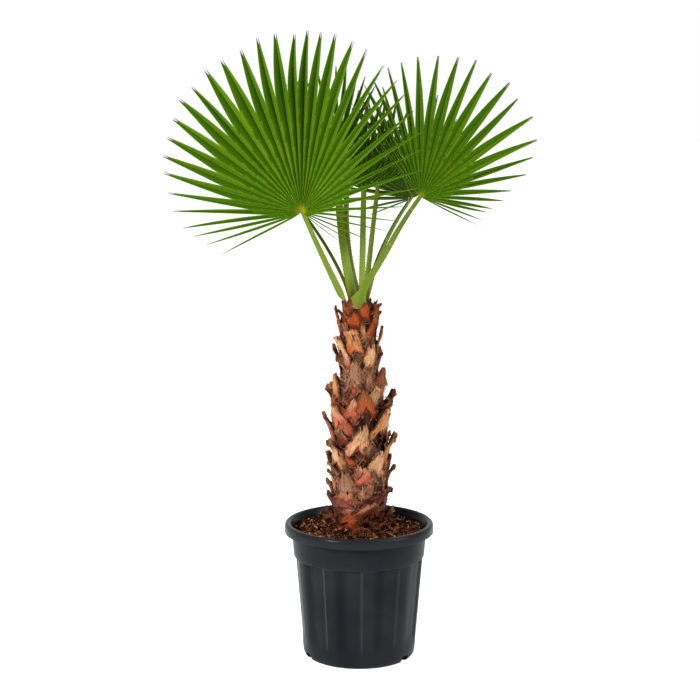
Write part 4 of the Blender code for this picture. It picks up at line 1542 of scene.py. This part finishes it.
    def free(self, fingers: Fingers, angle: Array, reach: Array) -> tuple[Array, Array]:
        """The fingers' free part on one side of their ribs.

        The half width falls as 1 - t^p to a small rest and swells where it started narrow. Near its tip the
        finger parts from its rib in two points. It sways aside and nods as the square of t.

        Args:
            fingers: The fingers.
            angle: Each column's angle where it comes free.
            reach: Each column's distance there.

        Returns:
            The points, and each one's share of its finger's length.
        """
        leaf, ribs = self.leaf, fingers.ribs
        t = (np.arange(self.free_rows + 1) / self.free_rows)[None, :, None]
        far, hairy, loose = (a[:, None, None] for a in (fingers.lengths, fingers.hairy, fingers.loose))
        sway, nod = (a[:, None, None] for a in (fingers.sway, fingers.nod))
        start_x = (reach * np.cos(angle - ribs[:, None]))[:, None]
        start_y = (reach * np.sin(angle - ribs[:, None]))[:, None]
        edge = start_y[..., -1:]
        fork = 0.5 * np.clip((t - 0.87) / 0.09, 0, 1) + 0.34 * np.clip((t - 0.95) / 0.05, 0, 1)
        fork = fork * (0.3 + 0.7 * leaf.hair)
        inward = fork + (1 - fork) * (start_y / edge)
        rest = 0.18 * ((1 - 0.8 * hairy) * (1 - 0.7 * loose))
        power = 1.6 - 0.45 * ease(0.3, 1.2, np.abs(ribs))[:, None, None] - 0.6 * hairy
        thin = (1 - 0.6 * hairy) * (1 - 0.7 * loose)
        swell = np.clip(self.narrow / np.abs(edge) - 1, 0, None) * thin * 3.2 * t * (1 - t)
        taper = 1 - (1 - rest) * t**power + swell
        run = start_x + (far - start_x) * t
        across = edge * taper * inward + sway * far * t**2
        deep = self.pleat * (reach[:, None] * self.step() / 2) * taper * (1 - 0.4 * t)
        lift = self.pleated(deep) + nod * far * t**2
        x, y = turned(run, across, ribs[:, None, None])
        return self.put(x, y, lift), run / far

    def step(self) -> float:
        """The mean angle from a fold to the next."""
        return np.radians(self.leaf.left + self.leaf.right) / self.leaf.fingers

    def build(self, materials: list[bpy.types.Material]) -> None:
        """Makes the blade of four grids a finger: the joined and the free part, on each side of its rib.

        Args:
            materials: The upper and the under side's.
        """
        fingers = self.fingers()
        out = np.arange(self.columns + 1) / self.columns
        skin = Skin()
        for sign in (-1, 1):
            angle, reach = self.side_columns(fingers, sign)
            for points, along in (self.joined(fingers, angle, reach), self.free(fingers, angle, reach)):
                grain = np.stack(np.broadcast_arrays(sign * out, along, fingers.tone[:, None, None]), -1)
                skin.add(points[:, :, ::sign], grain[:, :, ::sign])
        blade = skin.finish(f"fan_{self.leaf.name}", materials, 60, False)
        thicken(blade, self.thick, 1)
        dress(blade, "leaf_blade", f"leaf_blade_{self.leaf.name}")


@dataclass
class LeafStalk:
    """The leaf's stalk: a clasping base, a shallow toothed channel, and a rib that runs behind the blade."""

    leaf: Leaf
    stem: PalmStem
    gap: float = 0.0003
    top_half: float = 0.0042
    clasp_half: float = 0.024
    clasp_radius: float = 0.040
    keel: Span = (0.0064, 0.0042)
    tooth: float = 0.0009
    rib: float = 0.24
    hub_radius: float = 0.006
    points: int = 130
    columns: int = 15

    def centre(self) -> Array:
        """The centre line: a quadratic curve from the seat on the stem, over its bend, to the hub."""
        leaf = self.leaf
        _, midrib, face = leaf.axes()
        foot = np.array((*leaf.foot, self.stem.top + self.gap))
        hub = np.array(leaf.hub)
        slant = abs(unit(hub - foot) @ face)
        end = hub + midrib * (self.hub_radius - (3 + slant) * self.gap)
        bend = foot + (end - foot) * 0.42 + np.array((leaf.bow, 0, 0.02))
        t = np.linspace(0, 1, 64)[:, None]
        return (1 - t) ** 2 * foot + 2 * t * (1 - t) * bend + t**2 * end

    def course(self) -> tuple[Array, float, Array]:
        """The whole line: the drop into the clasp, the stalk itself and the rib behind the blade.

        Returns:
            Even points, the share of the line at which the hub is, and the way outwards at the clasp.
        """
        leaf = self.leaf
        _, midrib, face = leaf.axes()
        line = self.centre()
        radial = unit(np.array((*leaf.foot, 0.0)))
        if leaf.clasp is not None:
            turn = math.radians(leaf.clasp)
            radial = np.array((math.cos(turn), math.sin(turn), 0))
            t = np.linspace(0, 1, len(line))[:, None]
            line = line + (radial * (self.stem.high + 0.003) - (*leaf.foot, 0)) * (1 - ease(0, 0.55, t))
        if leaf.drop:
            s = np.linspace(1, 0, 16)[1:-1, None]
            start = line[0] + radial * (self.stem.high + 0.0045 - np.hypot(*line[0, :2])) * ease(0, 0.75, s)
            line = np.concatenate((start - UP * leaf.drop * s, line))
        behind = np.linspace(0.04, 1, 14)[:, None]
        sunk = face * (0.0012 + 0.0035 * behind) * behind**0.5
        line = np.concatenate((line, line[-1] + midrib * behind * self.rib * leaf.reach - sunk))
        run = np.concatenate(([0], np.cumsum(np.linalg.norm(np.diff(line, axis=0), axis=1))))
        even = np.linspace(0, 1, self.points)
        line = np.stack([np.interp(even, run / run[-1], line[:, axis]) for axis in range(3)], -1)
        return line, run[-1 - len(behind)] / run[-1], radial

    def section(self, share: Array, hub_at: float, clasp: Array) -> tuple[Array, Array]:
        """The section at each point of the line: a crescent, hollow towards the face and toothed low down.

        Args:
            share: From 0 to 1 down the line.
            hub_at: The share at which the hub is.
            clasp: How far the section wraps the stem, from 0 to 1.

        Returns:
            Places across the section and places towards the face, of shape (line, two faces of columns).
        """
        leaf, along = self.leaf, share / hub_at
        start = leaf.foot_width / 2 * (1.15 if leaf.drop else 1.0)
        half = start + (self.top_half * leaf.stout - start) * np.clip(along, 0, 1) ** 0.62
        half = half + (self.clasp_half - start) * clasp**2 * (leaf.clasp is not None)
        half = half * np.clip(along / (0.07 if leaf.clasp else 0.03), 0, 1) ** 0.5
        half = half * np.where(along > 1, np.clip(1 - (share - hub_at) / (1 - hub_at), 0, 1) ** 0.7, 1)
        thick = blend(*self.keel, along) * np.clip(half / 0.004, 0.05, 1)
        thick = (thick * (1 - 0.45 * clasp))[:, None]
        u = np.linspace(-1, 1, self.columns)
        toothed = ease(0.85, 0.5, along) * ease(0.08, 0.2, along)
        teeth = self.tooth * np.abs(np.sin(share * 150)) ** 6 * toothed
        reach = half[:, None] * u + np.sign(u) * teeth[:, None] * (np.abs(u) > 0.99)
        cup = 0.30 * thick * u**2 - clasp[:, None] * reach**2 / (2 * self.clasp_radius)
        outside = cup + 0.12 * thick * (1 - u**2)
        inside = cup - thick * (1 - np.abs(u) ** 2.4) - 0.0004
        return np.concatenate((reach, reach[:, ::-1]), 1), np.concatenate((outside, inside[:, ::-1]), 1)

    def build(self, material: bpy.types.Material) -> None:
        """Makes the stalk: its section, square to its line, faces as the blade, and outwards at the clasp.

        Args:
            material: The stalk's finish.
        """
        leaf = self.leaf
        face = leaf.axes()[2]
        line, hub_at, radial = self.course()
        share = np.linspace(0, 1, self.points)
        along = share / hub_at
        clasp = 1 - ease(0.03, 0.20, along) if leaf.drop else 0 * along
        ahead = unit(np.gradient(line, axis=0))
        across = unit(np.cross(ahead, face * (1 - clasp[:, None]) + radial * clasp[:, None]))
        out = np.cross(across, ahead)
        ring_x, ring_y = self.section(share, hub_at, clasp)
        flat = np.zeros_like(ring_x[:1])
        ring_x, ring_y = (np.concatenate((flat, ring, flat)) for ring in (ring_x, ring_y))
        line, across, out, along = (np.concatenate((a[:1], a, a[-1:])) for a in (line, across, out, along))
        points = line[:, None] + ring_x[..., None] * across[:, None] + ring_y[..., None] * out[:, None]
        u = np.linspace(-1, 1, self.columns)
        grain = np.stack(np.broadcast_arrays(np.concatenate((u, u[::-1])), along[:, None], 1 - leaf.tone), -1)
        skin = Skin()
        skin.add(points, grain, around=True)
        dress(skin.finish(f"stalk_{leaf.name}", [material], 60), "leaf_stalk", f"leaf_stalk_{leaf.name}")


@dataclass
class Crown:
    """The eight leaves, and the pale threads that curl from between their fingers."""

    stem: PalmStem
    thread: Colour = light(168, 170, 108)
    thread_lengths: Span = (0.03, 0.075)
    thread_radii: Span = (0.00025, 0.0004)

    def leaves(self) -> tuple[Leaf, ...]:
        """The leaves, set as in the CAD model but for a few millimetres."""
        return (
            Leaf(
                "left_front", hub=(-0.128, -0.130, 1.055), foot=(-0.031, -0.016), yaw=-4, lean=7, roll=0,
                reach=0.400, left=123, right=128, left_end=0.45, right_end=0.27, fold_left=4,
                fold_right=24, foot_width=0.016, fingers=37, hair=1.0, tone=0.7, drop=0.010, stout=1.1,
                bow=-0.012,
            ),
            Leaf(
                "left_back", hub=(-0.184, 0.130, 1.088), foot=(-0.019, 0.013), yaw=-98, lean=6, roll=-10,
                reach=0.262, left=100, right=96, left_end=0.45, right_end=0.45, fold_left=6, fold_right=6,
                foot_width=0.016, fingers=25, tone=0.2, drop=0.010, bow=0.026,
            ),
            Leaf(
                "centre_left", hub=(-0.050, 0.098, 1.165), foot=(-0.010, -0.001), yaw=-6, lean=4, roll=-3,
                reach=0.215, left=58, right=60, left_end=0.5, right_end=0.5, fold_left=8, fold_right=8,
                foot_width=0.024, fingers=15, tone=0.9, stout=1.8, bow=-0.024, joined=0.40,
            ),
            Leaf(
                "centre_back", hub=(-0.024, 0.274, 1.110), foot=(0.001, 0.021), yaw=178, lean=5, roll=0,
                reach=0.215, left=84, right=84, left_end=0.45, right_end=0.45, fold_left=4, fold_right=4,
                foot_width=0.016, fingers=17, tone=0.5, drop=0.010, stout=1.5, bow=-0.036, joined=0.40,
            ),
            Leaf(
                "centre_front", hub=(0.011, 0.010, 1.098), foot=(0.006, -0.010), yaw=-12, lean=4, roll=-6,
                reach=0.185, left=72, right=66, left_end=0.5, right_end=0.5, fold_left=10, fold_right=4,
                foot_width=0.015, fingers=12, tone=0.9, stout=1.5, joined=0.36,
            ),
            Leaf(
                "centre_right", hub=(0.043, 0.052, 1.103), foot=(0.013, 0.006), yaw=12, lean=5, roll=8,
                reach=0.195, left=62, right=66, left_end=0.5, right_end=0.5, fold_left=4, fold_right=4,
                foot_width=0.013, fingers=12, tone=0.9, stout=1.2, joined=0.36,
            ),
            Leaf(
                "right_back", hub=(0.126, 0.106, 1.069), foot=(0.016, 0.010), yaw=150, lean=-4, roll=28,
                reach=0.275, left=88, right=84, left_end=0.5, right_end=0.45, fold_left=4, fold_right=4,
                foot_width=0.014, fingers=22, tone=0.6, drop=0.010, bow=-0.026, joined=0.50,
            ),
            Leaf(
                "right_front", hub=(0.137, -0.070, 1.085), foot=(0.016, -0.022), yaw=5, lean=5, roll=25,
                reach=0.327, left=66, right=94, left_end=0.80, right_end=0.42, fold_left=-10,
                fold_right=0, foot_width=0.018, fingers=23, hair=0.2, tone=0.5, drop=0.010, stout=1.1,
                clasp=-97, bow=-0.020, joined=0.53, early=0.23, bunch=0.09, left_fingers=10,
            ),
        )

    def build(self) -> None:
        """Makes every leaf, then the threads."""
        stalk = StalkFinish().material()
        faces = BladeFinish()
        materials = [faces.material("leaf_face", 0.0), faces.material("leaf_underside", 0.55)]
        for leaf in self.leaves():
            LeafStalk(leaf, self.stem).build(stalk)
            LeafBlade(leaf).build(materials)
        self.threads()

    def threads(self) -> None:
        """Makes loose leaf threads: they leave a blade's lower fingers and hang in small sideways waves."""
        rng = np.random.default_rng(23)
        starts = []
        for leaf in self.leaves():
            side, midrib, _ = leaf.axes()
            for _ in range(4 if leaf.name in ("left_front", "right_front") else 1):
                share = rng.uniform(0.55, 0.95)
                turn = math.radians(share * (leaf.right if rng.uniform() < 0.6 else -leaf.left))
                radius = leaf.reach * rng.uniform(0.35, 0.7)
                starts.append(np.array(leaf.hub) + radius * (math.cos(turn) * midrib + math.sin(turn) * side))
        starts = np.array(starts)[:, None]
        s = np.linspace(0, 1, 14)
        count = len(starts)
        length = rng.uniform(*self.thread_lengths, (count, 1))
        phase = rng.uniform(0, 6.3, (count, 3))
        aside = length * (0.25 * np.sin(s * 6 + phase[:, :1]) * s + 0.3 * s * np.cos(phase[:, 1:2]))
        deep = length * (0.25 * np.cos(s * 5 + phase[:, 2:]) * s)
        paths = starts + np.stack((aside, deep, -length * s**1.3), -1)
        skin = Skin()
        skin.strands(paths, rng.uniform(*self.thread_radii, (count, 1)), self.thread)
        dress(skin.finish("leaf_threads", [ThreadFinish().material()], 80), "leaf_blade")


# ---- Studio ----
@dataclass
class Studio:
    """A plain white studio: a backdrop that glows more from behind, a soft key at the left, and a fill."""

    camera_place: Point = (-0.0213, -4.0, 1.361)
    camera_pitch: float = 9.01
    lens: float = 90.06
    glow_before: float = 0.20
    glow_behind: float = 1.10
    key: float = 230.0
    key_place: Point = (-2.6, -2.7, 2.4)
    key_size: float = 1.2
    fill: float = 75.0
    fill_place: Point = (2.6, -1.2, 1.8)
    fill_size: float = 1.6
    aim: Point = (0.0, 0.0, 0.75)

    def lamp(self, name: str, place: Point, power: float, size: float) -> None:
        """Adds a square soft lamp that points at the plant.

        Args:
            name: The lamp's name.
            place: Where it stands.
            power: In watts.
            size: Its side in metres.
        """
        data = bpy.data.lights.new(name, "AREA")
        data.energy = power
        data.size = size
        lamp = new_object(name, data)
        lamp.location = place
        x, y, z = np.array(self.aim) - place
        lamp.rotation_euler = (math.atan2(math.hypot(x, y), -z), 0, math.atan2(-x, y))

    def sky(self) -> bpy.types.World:
        """A white backdrop whose glow on the plant rises from the front to the back of the room."""
        world = bpy.data.worlds.new("studio")
        world.use_nodes = True
        nodes, links = world.node_tree.nodes, world.node_tree.links
        kinds = ("TexCoord", "LightPath", "SeparateXYZ", "MapRange", "MapRange")
        ways, seen, split, rise, pick = (nodes.new("ShaderNode" + kind) for kind in kinds)
        links.new(ways.outputs["Generated"], split.inputs[0])
        links.new(split.outputs["Y"], rise.inputs["Value"])
        ends = {"From Min": -0.3, "From Max": 0.8, "To Min": self.glow_before, "To Max": self.glow_behind}
        for key, value in ends.items():
            rise.inputs[key].default_value = value
        links.new(seen.outputs["Is Camera Ray"], pick.inputs["Value"])
        links.new(rise.outputs[0], pick.inputs["To Min"])
        links.new(pick.outputs[0], nodes["Background"].inputs["Strength"])
        nodes["Background"].inputs["Color"].default_value = (1, 1, 1, 1)
        return world

    def floor(self) -> bpy.types.Object:
        """A pale glowing sheet under and behind the pot, with the faintest cloudiness."""
        sheet = bpy.data.meshes.new("studio_floor")
        sheet.from_pydata([(-14, -8, 0), (14, -8, 0), (14, 30, 0), (-14, 30, 0)], [], [(0, 1, 2, 3)])
        make = Shader("studio_floor", 0.9, 0.0)
        shade = make.mix(make.noise(make.place(), 3), (0.80, 0.80, 0.80), (0.83, 0.83, 0.83))
        make.feed(make.surface, "Emission Color", (1.0, 1.0, 1.0))
        make.feed(make.surface, "Emission Strength", 0.70)
        sheet.materials.append(make.finish(shade))
        return new_object("studio_floor", sheet)

    def build(self) -> None:
        """Makes the world, lamps, floor and camera."""
        scene = bpy.context.scene
        scene.world = self.sky()
        scene.view_settings.view_transform = "Standard"
        self.lamp("key_lamp", self.key_place, self.key, self.key_size)
        self.lamp("fill_lamp", self.fill_place, self.fill, self.fill_size)
        self.floor()
        camera = bpy.data.cameras.new("camera")
        camera.lens = self.lens
        holder = new_object("camera", camera)
        holder.location = self.camera_place
        holder.rotation_euler = (math.radians(90 - self.camera_pitch), 0, 0)
        scene.camera = holder


def main() -> None:
    """Builds the studio and every piece, from the pot up."""
    logging.basicConfig(level=logging.INFO, format="%(name)s: %(message)s")
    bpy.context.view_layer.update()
    Studio().build()
    pot = NurseryPot()
    pot.build()
    PottingSoil(pot).build()
    stem = PalmStem()
    stem.build()
    coat = HuskCoat(stem)
    coat.build()
    LooseFibres(stem, coat.lining()).build()
    Crown(stem).build()


if __name__ == "__main__":
    main()
